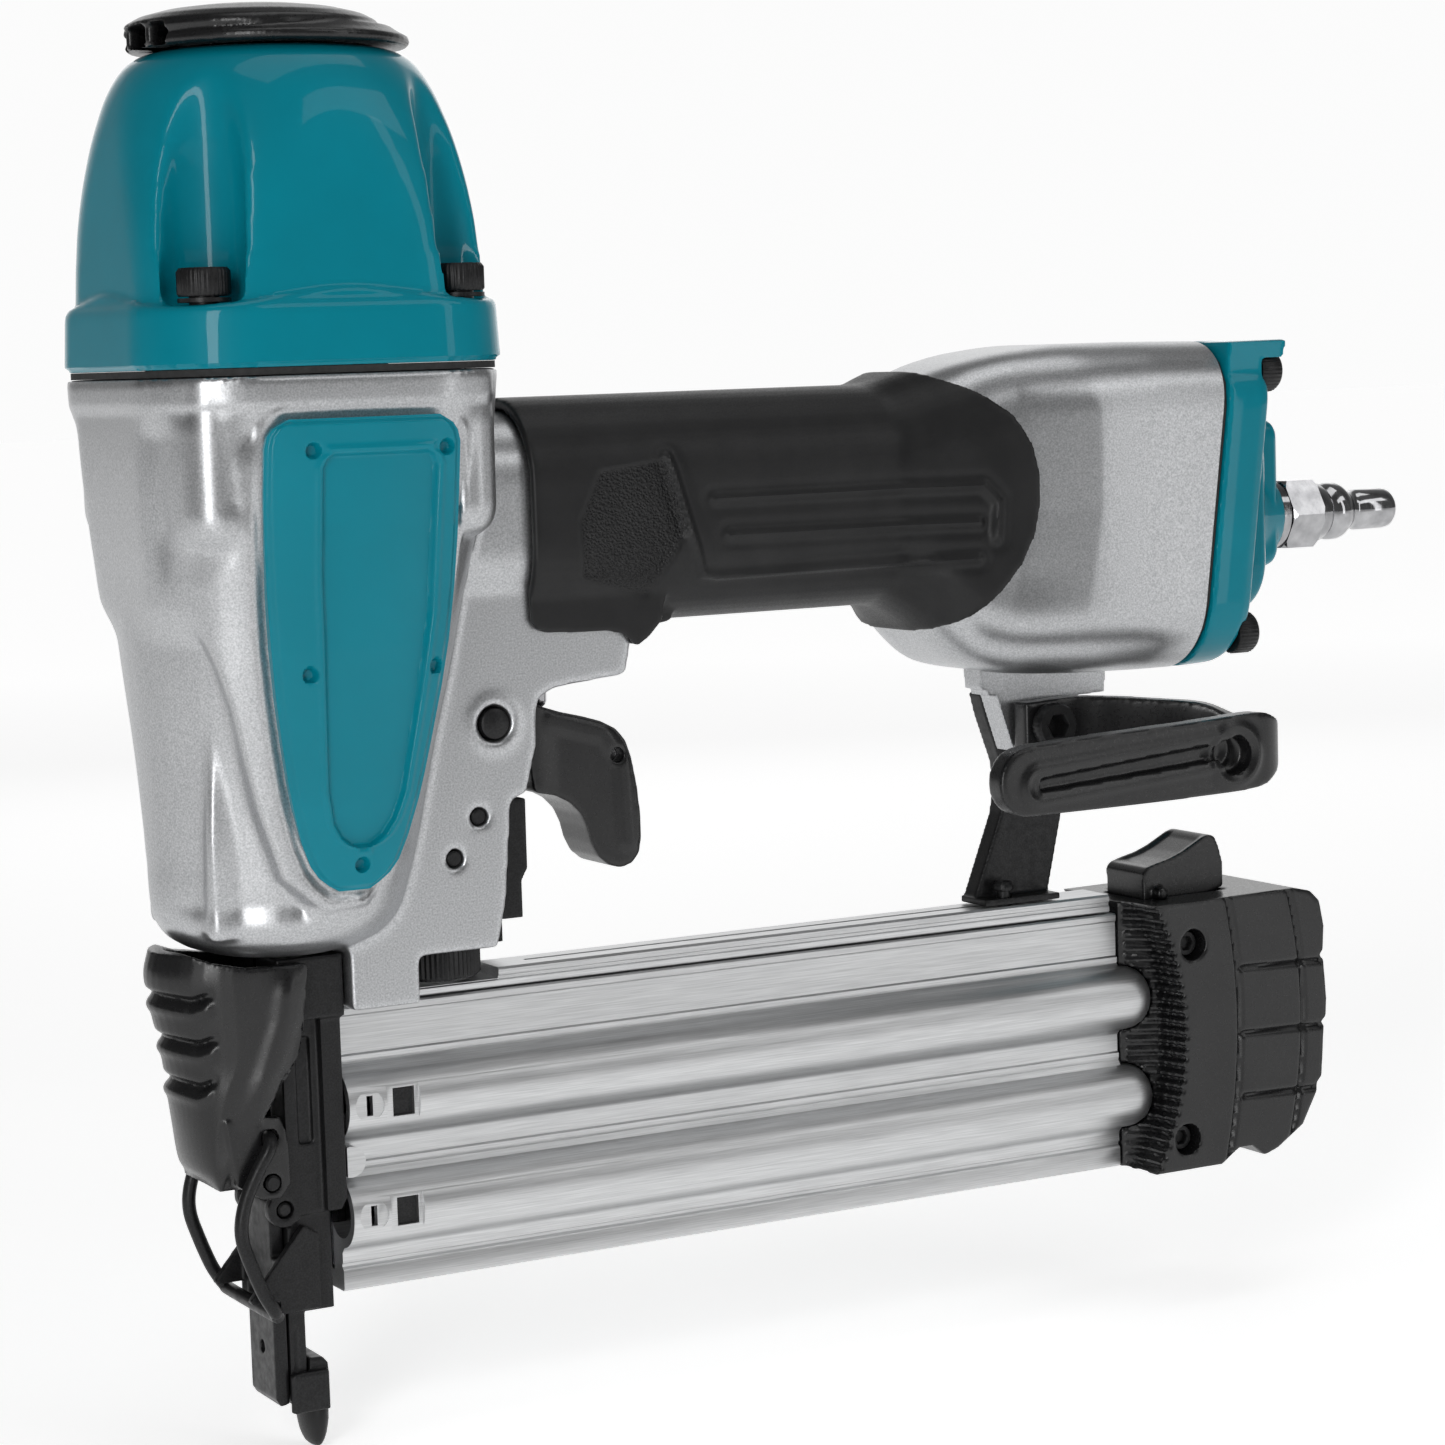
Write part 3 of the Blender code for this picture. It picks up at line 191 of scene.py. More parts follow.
# ---------------------------------------------------------------- materials
class Surface:
    """A Principled material with short calls for its procedural detail."""

    def __init__(self, name, colour, metallic, roughness, **sockets):
        self.material = bpy.data.materials.new(name)
        self.material.use_nodes = True
        self.nodes, self.links = self.material.node_tree.nodes, self.material.node_tree.links
        self.shader = self.nodes["Principled BSDF"]
        self.shader.inputs["Base Color"].default_value = (*colour, 1.0)
        self.shader.inputs["Metallic"].default_value = metallic
        self.shader.inputs["Roughness"].default_value = roughness
        for socket, value in sockets.items():
            self.shader.inputs[socket.replace("_", " ")].default_value = value
        self.coords = self.nodes.new("ShaderNodeTexCoord").outputs["Object"]
        self.normal = None

    def stretched(self, scale):
        node = self.nodes.new("ShaderNodeMapping")
        node.inputs["Scale"].default_value = scale
        self.links.new(self.coords, node.inputs["Vector"])
        return node.outputs["Vector"]

    def noise(self, scale, detail=2.0, stretch=None):
        node = self.nodes.new("ShaderNodeTexNoise")
        node.inputs["Scale"].default_value = scale
        node.inputs["Detail"].default_value = detail
        self.links.new(self.stretched(stretch) if stretch else self.coords, node.inputs["Vector"])
        return node.outputs["Fac"]

    def cells(self, scale, output="Distance"):
        node = self.nodes.new("ShaderNodeTexVoronoi")
        node.inputs["Scale"].default_value = scale
        self.links.new(self.coords, node.inputs["Vector"])
        if output == "Distance":
            return node.outputs["Distance"]
        split = self.nodes.new("ShaderNodeSeparateColor")
        self.links.new(node.outputs["Color"], split.inputs[0])
        return split.outputs[0]

    def attribute(self, name):
        node = self.nodes.new("ShaderNodeAttribute")
        node.attribute_name = name
        return node.outputs["Fac"]

    def spread(self, value, low, high, start=0.0, end=1.0):
        node = self.nodes.new("ShaderNodeMapRange")
        node.inputs["From Min"].default_value, node.inputs["From Max"].default_value = start, end
        node.inputs["To Min"].default_value, node.inputs["To Max"].default_value = low, high
        self.links.new(value, node.inputs["Value"])
        return node.outputs["Result"]

    def product(self, first, second):
        node = self.nodes.new("ShaderNodeMath")
        node.operation = "MULTIPLY"
        self.links.new(first, node.inputs[0])
        self.links.new(second, node.inputs[1])
        return node.outputs["Value"]

    def colour_between(self, value, first, second, start=0.0, end=1.0):
        node = self.nodes.new("ShaderNodeMix")
        node.data_type = "RGBA"
        node.inputs["A"].default_value, node.inputs["B"].default_value = (*first, 1.0), (*second, 1.0)
        self.links.new(self.spread(value, 0.0, 1.0, start, end), node.inputs["Factor"])
        self.links.new(node.outputs["Result"], self.shader.inputs["Base Color"])

    def rough_between(self, value, low, high, start=0.0, end=1.0):
        self.links.new(self.spread(value, low, high, start, end), self.shader.inputs["Roughness"])

    def bump(self, height, strength, depth_mm):
        node = self.nodes.new("ShaderNodeBump")
        node.inputs["Strength"].default_value = strength
        node.inputs["Distance"].default_value = depth_mm * MM
        self.links.new(height, node.inputs["Height"])
        if self.normal:
            self.links.new(self.normal, node.inputs["Normal"])
        self.normal = node.outputs["Normal"]
        self.links.new(self.normal, self.shader.inputs["Normal"])


def cast_silver():
    s = Surface("cast_silver_look", (0.58, 0.585, 0.59), 0.96, 0.28)
    grain = s.noise(3200, 2.0)
    s.colour_between(grain, (0.37, 0.377, 0.388), (0.58, 0.587, 0.598), 0.3, 0.7)
    s.rough_between(s.cells(3000, "Color"), 0.31, 0.37)
    s.bump(grain, 0.20, 0.06)
    return s.material


def teal_paint():
    s = Surface("teal_paint_look", (0.0, 0.26, 0.345), 0.0, 0.4, Coat_Weight=0.75, Coat_Roughness=0.05,
                Coat_IOR=1.28, Specular_IOR_Level=0.08)
    s.colour_between(s.noise(60, 3.0), (0.0, 0.190, 0.252), (0.0, 0.205, 0.272), 0.35, 0.65)
    s.bump(s.noise(260, 1.0), 0.05, 0.12)
    return s.material


def black_rubber():
    s = Surface("black_rubber_look", (0.011, 0.011, 0.0115), 0.0, 0.5, Specular_IOR_Level=0.34)
    fine = s.noise(3000, 2.0)
    s.colour_between(s.noise(140, 4.0), (0.005, 0.005, 0.0055), (0.010, 0.010, 0.0105), 0.3, 0.7)
    s.rough_between(fine, 0.38, 0.54, 0.3, 0.7)
    s.bump(fine, 0.25, 0.03)
    s.bump(s.product(s.cells(2000), s.attribute("grain")), 1.0, 0.3)
    return s.material


def black_plastic():
    s = Surface("black_plastic_look", (0.006, 0.006, 0.0065), 0.0, 0.28, Specular_IOR_Level=0.5)
    fine = s.noise(1900, 2.0)
    s.colour_between(s.noise(120, 4.0), (0.004, 0.004, 0.0045), (0.008, 0.008, 0.0085), 0.3, 0.7)
    s.rough_between(fine, 0.26, 0.34, 0.3, 0.7)
    s.bump(fine, 0.10, 0.03)
    return s.material


def black_steel():
    s = Surface("black_steel_look", (0.012, 0.012, 0.0125), 0.4, 0.38, Specular_IOR_Level=0.42)
    grain = s.noise(3400, 3.0)
    s.colour_between(grain, (0.008, 0.008, 0.0085), (0.022, 0.022, 0.023), 0.35, 0.75)
    s.rough_between(s.noise(700, 2.0), 0.30, 0.48, 0.3, 0.7)
    s.bump(grain, 0.30, 0.05)
    return s.material


def bright_steel():
    s = Surface("bright_steel_look", (0.40, 0.40, 0.41), 1.0, 0.12)
    lines = s.noise(900, 2.0, (6.0, 1.0, 1.0))
    s.colour_between(s.noise(300, 3.0), (0.30, 0.30, 0.31), (0.48, 0.48, 0.49), 0.3, 0.7)
    s.rough_between(lines, 0.06, 0.16, 0.3, 0.7)
    s.bump(lines, 0.10, 0.02)
    return s.material


def brushed_aluminium():
    s = Surface("brushed_aluminium_look", (0.60, 0.605, 0.61), 1.0, 0.34)
    lines = s.noise(5200, 3.0, (0.02, 1.0, 1.0))
    wide = s.noise(900, 2.0, (0.03, 1.0, 1.0))
    s.colour_between(lines, (0.52, 0.525, 0.53), (0.68, 0.685, 0.69), 0.3, 0.7)
    s.rough_between(wide, 0.36, 0.44, 0.3, 0.7)
    s.bump(lines, 0.12, 0.015)
    return s.material


def gasket_rubber():
    s = Surface("gasket_rubber_look", (0.015, 0.015, 0.015), 0.0, 0.8)
    s.colour_between(s.noise(900, 2.0), (0.010, 0.010, 0.010), (0.022, 0.022, 0.022), 0.3, 0.7)
    s.bump(s.noise(1500, 2.0), 0.4, 0.05)
    return s.material


def spring_steel():
    s = Surface("spring_steel_look", (0.40, 0.40, 0.41), 1.0, 0.3)
    s.colour_between(s.noise(1200, 2.0), (0.32, 0.32, 0.33), (0.48, 0.48, 0.49), 0.3, 0.7)
    s.rough_between(s.noise(1500, 2.0), 0.2, 0.4)
    return s.material


LOOKS = {made.__name__: made() for made in (
    cast_silver, teal_paint, black_rubber, black_plastic, black_steel, bright_steel, brushed_aluminium,
    gasket_rubber, spring_steel)}
NODE_SLOT = {part["node"]: part["material_slot"] for part in frame["record"]["subparts"]}
NODE_BODY = {node: body for body, nodes in frame["record"]["behaviour"]["bodies"].items() for node in nodes}


def dress_cad_nodes():
    for node, cad in frame["nodes"].items():
        for slot in cad.material_slots:
            slot.material = LOOKS[NODE_SLOT[node]]


# ---------------------------------------------------------------- solid builders (drawing mm)
def close_up(bm):
    bmesh.ops.recalc_face_normals(bm, faces=bm.faces)
    return bm


def placed(axis, u, v, along):
    """Point at (u, v) across an axis: (y, z) across X, (x, z) across Y and (x, y) across Z."""
    return {"X": (along, u, v), "Y": (u, along, v), "Z": (u, v, along)}[axis]


def loft(rings, joined=False):
    """Closed body through rings of equal point count; its ends are flat, or joined to each other."""
    bm = bmesh.new()
    rows = [[bm.verts.new(p) for p in ring] for ring in rings]
    count = len(rows[0])
    for low, high in zip(rows, rows[1:] + (rows[:1] if joined else [])):
        for i in range(count):
            j = (i + 1) % count
            bm.faces.new((low[i], low[j], high[j], high[i]))
    if not joined:
        bm.faces.new(rows[0])
        bm.faces.new(rows[-1][::-1])
    return close_up(bm)


def prism(outline, axis, low, high):
    """Extruded outline of (u, v) points across the axis."""
    return loft([[placed(axis, u, v, level) for u, v in outline] for level in (low, high)])


def box(low, high):
    (x0, y0, z0), (x1, y1, z1) = low, high
    return prism([(x0, y0), (x1, y0), (x1, y1), (x0, y1)], "Z", z0, z1)


def arc(centre, radius, start, end, count):
    """Points on an arc between two angles in degrees, ends included."""
    angles = [math.radians(start + (end - start) * i / count) for i in range(count + 1)]
    return [(centre[0] + radius * math.cos(a), centre[1] + radius * math.sin(a)) for a in angles]


def circle(centre, radius, count=48):
    return arc(centre, radius, 0.0, 360.0, count)[:-1]


def rod(axis, centre, radius, low, high, count=48):
    return prism(circle(centre, radius, count), axis, low, high)


def lathe(profile, axis, centre, count=64):
    """Turned body. profile is a closed loop of (radius, height)."""
    bm = bmesh.new()
    rows = []
    for radius, height in profile:
        if radius == 0:
            rows.append([bm.verts.new(placed(axis, *centre, height))] * count)
        else:
            rows.append([bm.verts.new(placed(axis, centre[0] + u, centre[1] + v, height))
                         for u, v in circle((0, 0), radius, count)])
    for first, second in zip(rows, rows[1:] + rows[:1]):
        for i in range(count):
            j = (i + 1) % count
            corners = []
            for vert in (first[i], first[j], second[j], second[i]):
                if vert not in corners:
                    corners.append(vert)
            if len(corners) > 2:
                bm.faces.new(corners)
    return close_up(bm)


def smooth_rows(table, steps):
    """Rows of a table (key first) on a smooth curve through them, evenly spaced in key."""
    rows = np.array(sorted(table), float)
    key = rows[:, 0]
    rate = np.diff(rows[:, 1:], axis=0) / np.diff(key)[:, None]
    before, after = np.vstack([rate[:1], rate]), np.vstack([rate, rate[-1:]])
    same = before * after > 0
    slope = np.where(same, 2 * before * after / np.where(same, before + after, 1.0), 0.0)
    wanted = np.linspace(key[0], key[-1], steps + 1)
    made = []
    for k in wanted:
        i = min(max(int(np.searchsorted(key, k)) - 1, 0), len(key) - 2)
        width = key[i + 1] - key[i]
        t = (k - key[i]) / width
        ease = (2 * t ** 3 - 3 * t ** 2 + 1, t ** 3 - 2 * t ** 2 + t,
                -2 * t ** 3 + 3 * t ** 2, t ** 3 - t ** 2)
        value = (ease[0] * rows[i, 1:] + ease[1] * width * slope[i]
                 + ease[2] * rows[i + 1, 1:] + ease[3] * width * slope[i + 1])
        made.append((float(k), *map(float, value)))
    return made


def straight_row(table, value):
    rows = np.array(sorted(table), float)
    return [float(np.interp(value, rows[:, 0], rows[:, i])) for i in range(1, rows.shape[1])]


def round_rectangle(centre_u, centre_v, half_u, half_v, corner, per_corner):
    """Outline with round corners, per_corner points on each."""
    outline = []
    for quarter, (sign_u, sign_v) in enumerate(((1, 1), (-1, 1), (-1, -1), (1, -1))):
        middle = (centre_u + sign_u * (half_u - corner), centre_v + sign_v * (half_v - corner))
        outline += arc(middle, corner, 90 * quarter, 90 * quarter + 90, per_corner - 1)
    return outline


def rounded_square(centre_x, half, corner, z, per_corner=14):
    return [(x, y, z) for x, y in round_rectangle(centre_x, 0.0, half, half, corner, per_corner)]


def upright_ring(x, top, bottom, half_y, corner, lean=0.0):
    """Ring across the handle with round corners, in a plane that leans along X."""
    outline = round_rectangle(0.0, (top + bottom) / 2.0, half_y, (top - bottom) / 2.0, corner, 12)
    return [(x + lean * (z - REAR_Z), y, z) for y, z in outline]


def smooth_path(path, steps):
    """Points on a smooth curve through the path."""
    points = [Vector(path[0])] + [Vector(p) for p in path] + [Vector(path[-1])]
    made = []
    for a, b, c, d in zip(points, points[1:], points[2:], points[3:]):
        for k in range(steps):
            t = k / steps
            square, cube = 2 * a - 5 * b + 4 * c - d, 3 * b - a - 3 * c + d
            made.append(0.5 * (2 * b + (c - a) * t + square * t * t + cube * t ** 3))
    return made + [points[-1]]


def sweep(path, radius, sides):
    """Round bar that follows a path, its ends closed."""
    points = [Vector(p) for p in path]
    normal = None
    rings = []
    for i, point in enumerate(points):
        before, after = points[max(i - 1, 0)], points[min(i + 1, len(points) - 1)]
        along = (after - before).normalized()
        if normal is None:
            normal = along.orthogonal().normalized()
        normal = (normal - along * normal.dot(along)).normalized()
        across = along.cross(normal)
        rings.append([point + radius * (math.cos(a) * normal + math.sin(a) * across)
                      for a in (2 * math.pi * k / sides for k in range(sides))])
    return loft(rings)


def as_object(name, bm):
    mesh = bpy.data.meshes.new(name)
    bm.to_mesh(mesh)
    bm.free()
    made = bpy.data.objects.new(name, mesh)
    bpy.context.scene.collection.objects.link(made)
    return made


def drop(thing):
    mesh = thing.data
    bpy.data.objects.remove(thing)
    bpy.data.meshes.remove(mesh)


def applied(thing):
    """The object's modified mesh as a new bmesh; the object is removed."""
    evaluated = thing.evaluated_get(bpy.context.evaluated_depsgraph_get())
    result = bmesh.new()
    result.from_mesh(evaluated.to_mesh())
    evaluated.to_mesh_clear()
    drop(thing)
    return result


def add(*tools):
    return [("UNION", tool) for tool in tools]


def cut(*tools):
    return [("DIFFERENCE", tool) for tool in tools]


def meet(*tools):
    return [("INTERSECT", tool) for tool in tools]


def combine(base, *steps):
    """The body after Booleans in order; each step is a list that add, cut or meet makes."""
    target = as_object("target", base)
    tools = []
    for operation, tool in sum(steps, []):
        tools.append(as_object("tool", tool))
        modifier = target.modifiers.new(operation, "BOOLEAN")
        modifier.operation, modifier.solver, modifier.object = operation, "EXACT", tools[-1]
    result = applied(target)
    for tool in tools:
        drop(tool)
    return result


def soften(bm, rounds, voxel=None):
    """Rounds the edges, as a casting or moulding has them; voxel first lays an even mesh over the solid."""
    thing = as_object("softened", bm)
    if voxel:
        remesh = thing.modifiers.new("remesh", "REMESH")
        remesh.mode, remesh.voxel_size, remesh.adaptivity = "VOXEL", voxel, 0.0
    smooth = thing.modifiers.new("smooth", "SMOOTH")
    smooth.factor, smooth.iterations = 0.5, rounds
    return applied(thing)


def sculpt(bm, relief):
    """Raises or sinks the skin; relief(points, normals) gives each point's height in mm."""
    bm.normal_update()
    points = np.array([v.co for v in bm.verts])
    normals = np.array([v.normal for v in bm.verts])
    moved = points + normals * relief(points, normals)[:, None]
    for vert, place in zip(bm.verts, moved):
        vert.co = place
    return bm


def put(name, bm, node=None, slot=None, body=None, attributes=None):
    """Makes the visible piece that stands for a CAD node, or an extra one on a body of its own choice."""
    slot = slot or NODE_SLOT[node]
    bm.transform(TO_WORLD)
    made = as_object(name, bm)
    mesh = made.data
    for key, values in (attributes or {}).items():
        mesh.attributes.new(key, "FLOAT", "POINT").data.foreach_set("value", values)
    mesh.materials.append(LOOKS[slot])
    mesh.shade_smooth()
    mesh.set_sharp_from_angle(angle=math.radians(38))
    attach(made, body or NODE_BODY[node])
    if node:
        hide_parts(node)
    return made


def rise(value, start, end):
    """0 before start, 1 after end, smooth between; start may be the larger."""
    t = np.clip((value - start) / (end - start), 0.0, 1.0)
    return t * t * (3 - 2 * t)


def distance_to_path(u, v, path):
    """Distance from each point (u, v) to a chain of straight stretches."""
    nearest = np.full(u.shape, 1e9)
    for (u0, v0), (u1, v1) in zip(path, path[1:]):
        du, dv = u1 - u0, v1 - v0
        t = np.clip(((u - u0) * du + (v - v0) * dv) / (du * du + dv * dv), 0, 1)
        nearest = np.minimum(nearest, np.hypot(u - u0 - t * du, v - v0 - t * dv))
    return nearest


# ---------------------------------------------------------------- housing
REAR_X, REAR_Z, REAR_TILT = 171.5, -28.0, 0.13
BORE_X = -7.0
# the barrel's sections, from its foot up: z, middle in x, half width, corner radius
BARREL = [
    (-96.0, -4.9, 11.0, 10.9), (-94.6, -4.9, 15.5, 15.4), (-92.0, -4.9, 19.2, 19.1),
    (-88.0, -4.8, 21.3, 21.0), (-78.7, -4.0, 22.3, 20.2), (-63.6, -3.2, 23.8, 19.3),
    (-50.0, -2.4, 25.6, 18.7), (-37.0, -1.7, 27.2, 18.1), (-26.0, -1.1, 28.8, 17.4),
    (-14.0, -0.4, 30.1, 17.0), (BODY_TOP, 0.0, CAP_HALF, 16.5),
]
# the handle's and rear housing's sections: x, top, bottom, half width, corner radius
HANDLE = [
    (8.0, -8.6, -43.4, 14.6, 12.0), (60.0, -8.6, -43.4, 14.6, 12.0), (108.0, -8.6, -43.4, 14.6, 12.0),
    (114.0, -7.0, -46.5, 16.5, 12.5), (119.0, -5.2, -53.0, 18.2, 13.0), (126.0, -3.0, -57.8, 20.2, 13.0),
    (136.0, -1.2, -59.6, 22.0, 13.0), (148.0, -0.3, -60.2, 23.0, 12.5), (160.0, -0.3, -60.4, 23.3, 12.0),
]
# the badge's outline as z, left and right x; its face as z, reach out in y, fall towards the edges
BADGE = [(-84.0, -2.2, 2.2), (-83.4, -3.9, 3.9), (-82.0, -5.6, 5.8), (-80.0, -7.0, 7.4), (-76.0, -8.6, 9.0),
         (-70.0, -10.2, 10.7), (-66.0, -11.0, 11.7), (-60.0, -12.0, 13.0), (-52.0, -13.2, 14.6),
         (-44.0, -14.1, 15.8), (-36.0, -14.7, 16.7), (-28.0, -15.1, 17.2), (-20.5, -15.3, 17.4),
         (-12.6, -15.2, 17.5), (-10.8, -14.8, 17.0), (-9.6, -13.9, 16.1), (-8.9, -12.7, 14.9),
         (-8.6, -11.4, 13.6)]
BADGE_FACE = [(-90.0, 20.2, 0.018), (-70.0, 24.6, 0.013), (-45.0, 28.2, 0.009), (-5.0, 31.9, 0.004)]
TRIGGER_PIN = (30.3, -60.4)
STEM_X = 44.0
DOWELS = ((27.0, -75.9), (22.3, -82.5))
HOOK_SCREW, HOOK_EYE, HOOK_TIP = (142.0, -69.2), (162.7, -74.1), (119.0, -75.4)
FOOT_SCREW = (137.0, -2.3)
# edge of the raised pad round each badge, as (x, z) on the barrel's side
PAD_EDGE = [(-16.4, -9.6), (-13.0, -7.3), (14.8, -7.2), (18.9, -10.4), (19.1, -22.0), (18.4, -38.0),
            (16.2, -54.0), (12.0, -70.0), (7.6, -81.0), (2.0, -86.6), (-5.0, -87.0), (-11.7, -81.6),
            (-15.4, -70.3), (-19.2, -53.7), (-22.6, -42.5), (-22.6, -34.0), (-17.2, -22.0), (-16.4, -9.6)]


def inside_outline(u, v, outline):
    """True where the points lie inside a closed outline."""
    inside = np.zeros(u.shape, bool)
    for (u0, v0), (u1, v1) in zip(outline, outline[1:]):
        crosses = ((v0 > v) != (v1 > v)) & (u < (u1 - u0) * (v - v0) / (v1 - v0 + 1e-12) + u0)
        inside ^= crosses
    return inside


def housing_relief(points, normals):
    """Raised pads, corner hollows and ribs of the barrel."""
    x, y, z = points.T
    barrel = np.array(sorted(BARREL))
    centre = np.interp(z, barrel[:, 0], barrel[:, 1])
    half = np.interp(z, barrel[:, 0], barrel[:, 2])
    outward = np.stack([x - centre, y, np.zeros_like(x)], 1)
    reach = np.linalg.norm(outward, axis=1) + 1e-9
    outward /= reach[:, None]
    facing = (outward * normals).sum(1) > 0.25
    skin = facing & (reach > half * 0.9) & (x < 26.0) & (z < BODY_TOP - 0.2) & (z > -95.5)
    depth = np.zeros_like(x)

    # the raised pad, then the screw columns with a hollow round each
    edge = distance_to_path(x, z, PAD_EDGE)
    signed = np.where(inside_outline(x, z, PAD_EDGE), edge, -edge)
    on_side = rise(np.abs(y), 11.0, 14.0)
    softness = 1.2 + 4.0 * rise(-x, 12.0, 15.0) * rise(z, -48.0, -38.0) * rise(z, -10.0, -16.0)
    depth += 1.0 * rise(signed / softness, -1.0, 0.35) * on_side
    for column_x, column_y in COLUMN_PLACES:
        away = np.hypot(x - column_x, y - column_y)
        depth += 0.9 * np.exp(-(away / 5.5) ** 2) * rise(z, -29.0, -24.5) * rise(z, -6.0, -10.0)
        depth -= 1.3 * np.exp(-((away - 9.2) / 2.4) ** 2) * rise(z, -36.0, -25.0) * rise(z, -6.2, -11.0)

    # the hollow beside the pad with a rib low in it, and the lip under the cap
    around = np.degrees(np.arctan2(np.abs(y), -(x - centre)))
    crease = np.interp(z, [-87.0, -81.6, -70.3, -53.7, -42.5, -36.0],
                       [-6.0, -11.7, -15.4, -19.2, -22.6, -24.5])
    hollow = rise(crease - x, -0.3, 2.6) * rise(around, 2.0, 34.0)
    depth -= 2.1 * (hollow * rise(z, -37.0, -44.5) * rise(z, -93.0, -86.0))
    rib_width = np.interp(z, [-90.0, -60.0], [7.5, 2.5])
    rib = np.exp(-((around - 41.0) / rib_width) ** 2) * rise(z, -56.0, -80.0) * rise(z, -92.4, -90.2)
    depth += 2.7 * rib
    depth += 0.35 * rise(z, -6.6, -5.6)

    # a groove round each badge
    rim = [(left, level) for level, left, _ in BADGE] + [(right, level) for level, _, right in BADGE[::-1]]
    rim.append(rim[0])
    past = np.where(inside_outline(x, z, rim), -1.0, 1.0) * distance_to_path(x, z, rim)
    outside = np.where(np.abs(y) > 10.0, rise(past, 0.8, 2.4), 1.0)
    depth = skin * (depth * outside - 0.3 * (1 - outside))

    # the flat facet where the handle widens into the rear housing
    rear = rise(x, 108.0, 132.0) * rise(np.abs(y), 8.0, 18.0) * rise(np.abs(normals[:, 1]), 0.05, 0.95)
    crease = np.interp(z, [-60.0, -30.0, -14.0, -2.0], [141.5, 146.5, 146.8, 144.5])
    facet = np.clip((crease - x) / 14.0, 0.0, 1.0)
    depth -= 2.0 * rear * facet * rise(z, -61.0, -40.0) * rise(z, 1.0, -14.0)
    return depth


def make_housing():
    barrel = loft([rounded_square(cx, half, corner, z) for z, cx, half, corner in smooth_rows(BARREL, 60)])
    rings = [upright_ring(*row) for row in smooth_rows(HANDLE, 70)]
    rings.append(upright_ring(REAR_X + 3.0, -0.6, -60.4, 23.3, 12.0, REAR_TILT))
    spine = 12.5
    bracket = prism(
        [(0, -20), (56.7, -20), (56.7, -48.1), (55.4, -53.9), (42.1, -55.2), (38.6, -56.9), (38.0, -65.1),
         (35.9, -72.7), (33.1, -73.4), (31.4, -90.8), (29.6, -98.2), (15.0, -98.2), (15.0, -106.0),
         (2.6, -106.0), (2.6, -96.0), (0, -93)], "Y", -spine, spine)
    lug = prism(
        [(130.5, -54), (130.9, -62.4), (132.2, -62.6), (132.3, -63.6), (134.2, -63.8), (134.9, -66.0),
         (137.6, -74.2), (146.2, -74.2), (146.9, -69.4), (148.4, -69.2), (148.8, -66.6), (151.4, -66.3),
         (151.7, -64.9), (158.0, -64.7), (158.5, -54)], "Y", -6.0, -0.2)
    lug = combine(lug, cut(rod("Y", HOOK_SCREW, 2.4, -10, 5)))
    put("housing_lug", soften(lug, 2, 0.3), slot="cast_silver", body="frame")

    column = [(0, -28.5), (2.4, -28.0), (4.2, -26.3), (5.0, -23.5), (5.2, BODY_TOP), (0, BODY_TOP)]
    columns = [lathe(column, "Z", place, 40) for place in COLUMN_PLACES]
    boss = rod("Y", TRIGGER_PIN, 4.6, -spine - 0.35, spine + 0.35)
    outer = combine(barrel, add(loft(rings), bracket, box((17, 11, -80), (23, 16.8, -77)), *columns, boss))
    cuts = [rod("Z", (BORE_X, 0), 16.9, -90.3, 5), rod("Z", (HEAD_X, 0), 22.0, -46, 5),
            rod("Z", (BORE_X, 0), 6, -110, -80), box((24.9, -6.3, -72.0), (70, 6.3, -54.6)),
            box((29.2, -6.3, -110), (70, 6.3, -71.0)),
            rod("Z", (STEM_X, 0), 7.9, -60, -38), rod("Y", TRIGGER_PIN, 2.95, -20, 20),
            rod("Z", (DIAL_X, 0), 2.8, -110, -86), rod("Y", HOOK_SCREW, 2.4, -10, 5)]
    cuts += [rod("Y", place, 1.6, -20, 20, 32) for place in DOWELS]
    cast = soften(sculpt(soften(combine(outer, cut(*cuts)), 12, 0.5), housing_relief), 6)
    seat = [(REAR_X + REAR_TILT * (z - REAR_Z), z) for z in (4.0, -66.0)]
    behind = prism([(190, 4.0), *seat, (190, -66.0)], "Y", -30, 30)
    put("housing_casting", combine(cast, cut(behind)), "main_body")


def badge_relief(xs, z):
    """Recessed inner panel, rounded outer edge and small dimples of the badge."""
    left, right = straight_row(BADGE, z)
    panel_left = np.interp(z, [-77.4, -76.8, -75.5, -73.0, -67.7, -50.0, -32.2, -16.0, -14.6, -13.8],
                           [0.4, -1.4, -3.0, -4.4, -5.4, -6.2, -6.8, -6.6, -5.9, -4.6])
    panel_right = np.interp(z, [-77.4, -76.8, -75.5, -73.0, -68.8, -54.0, -39.7, -16.0, -14.6, -13.8],
                            [1.6, 3.4, 5.2, 6.9, 8.4, 10.9, 12.9, 13.9, 13.3, 12.0])
    inner = np.minimum(np.minimum(xs - panel_left, panel_right - xs), min(z + 77.6, -13.6 - z))
    depth = -1.15 * rise(inner, 0.0, 0.9) + 0.25 * np.exp(-((inner + 0.5) / 0.5) ** 2)
    border = np.minimum(np.minimum(xs - left, right - xs), min(z + 84.2, -8.4 - z))
    depth = depth - 0.5 * (1 - rise(border, 0.0, 0.9))
    for x, h in ((-7.9, -13.2), (15.2, -13.4), (-8.4, -48.6), (13.6, -48.6), (1.0, -80.2)):
        depth = depth - 1.5 * (1 - rise(np.hypot(xs - x, z - h), 0.8, 1.4))
    return depth


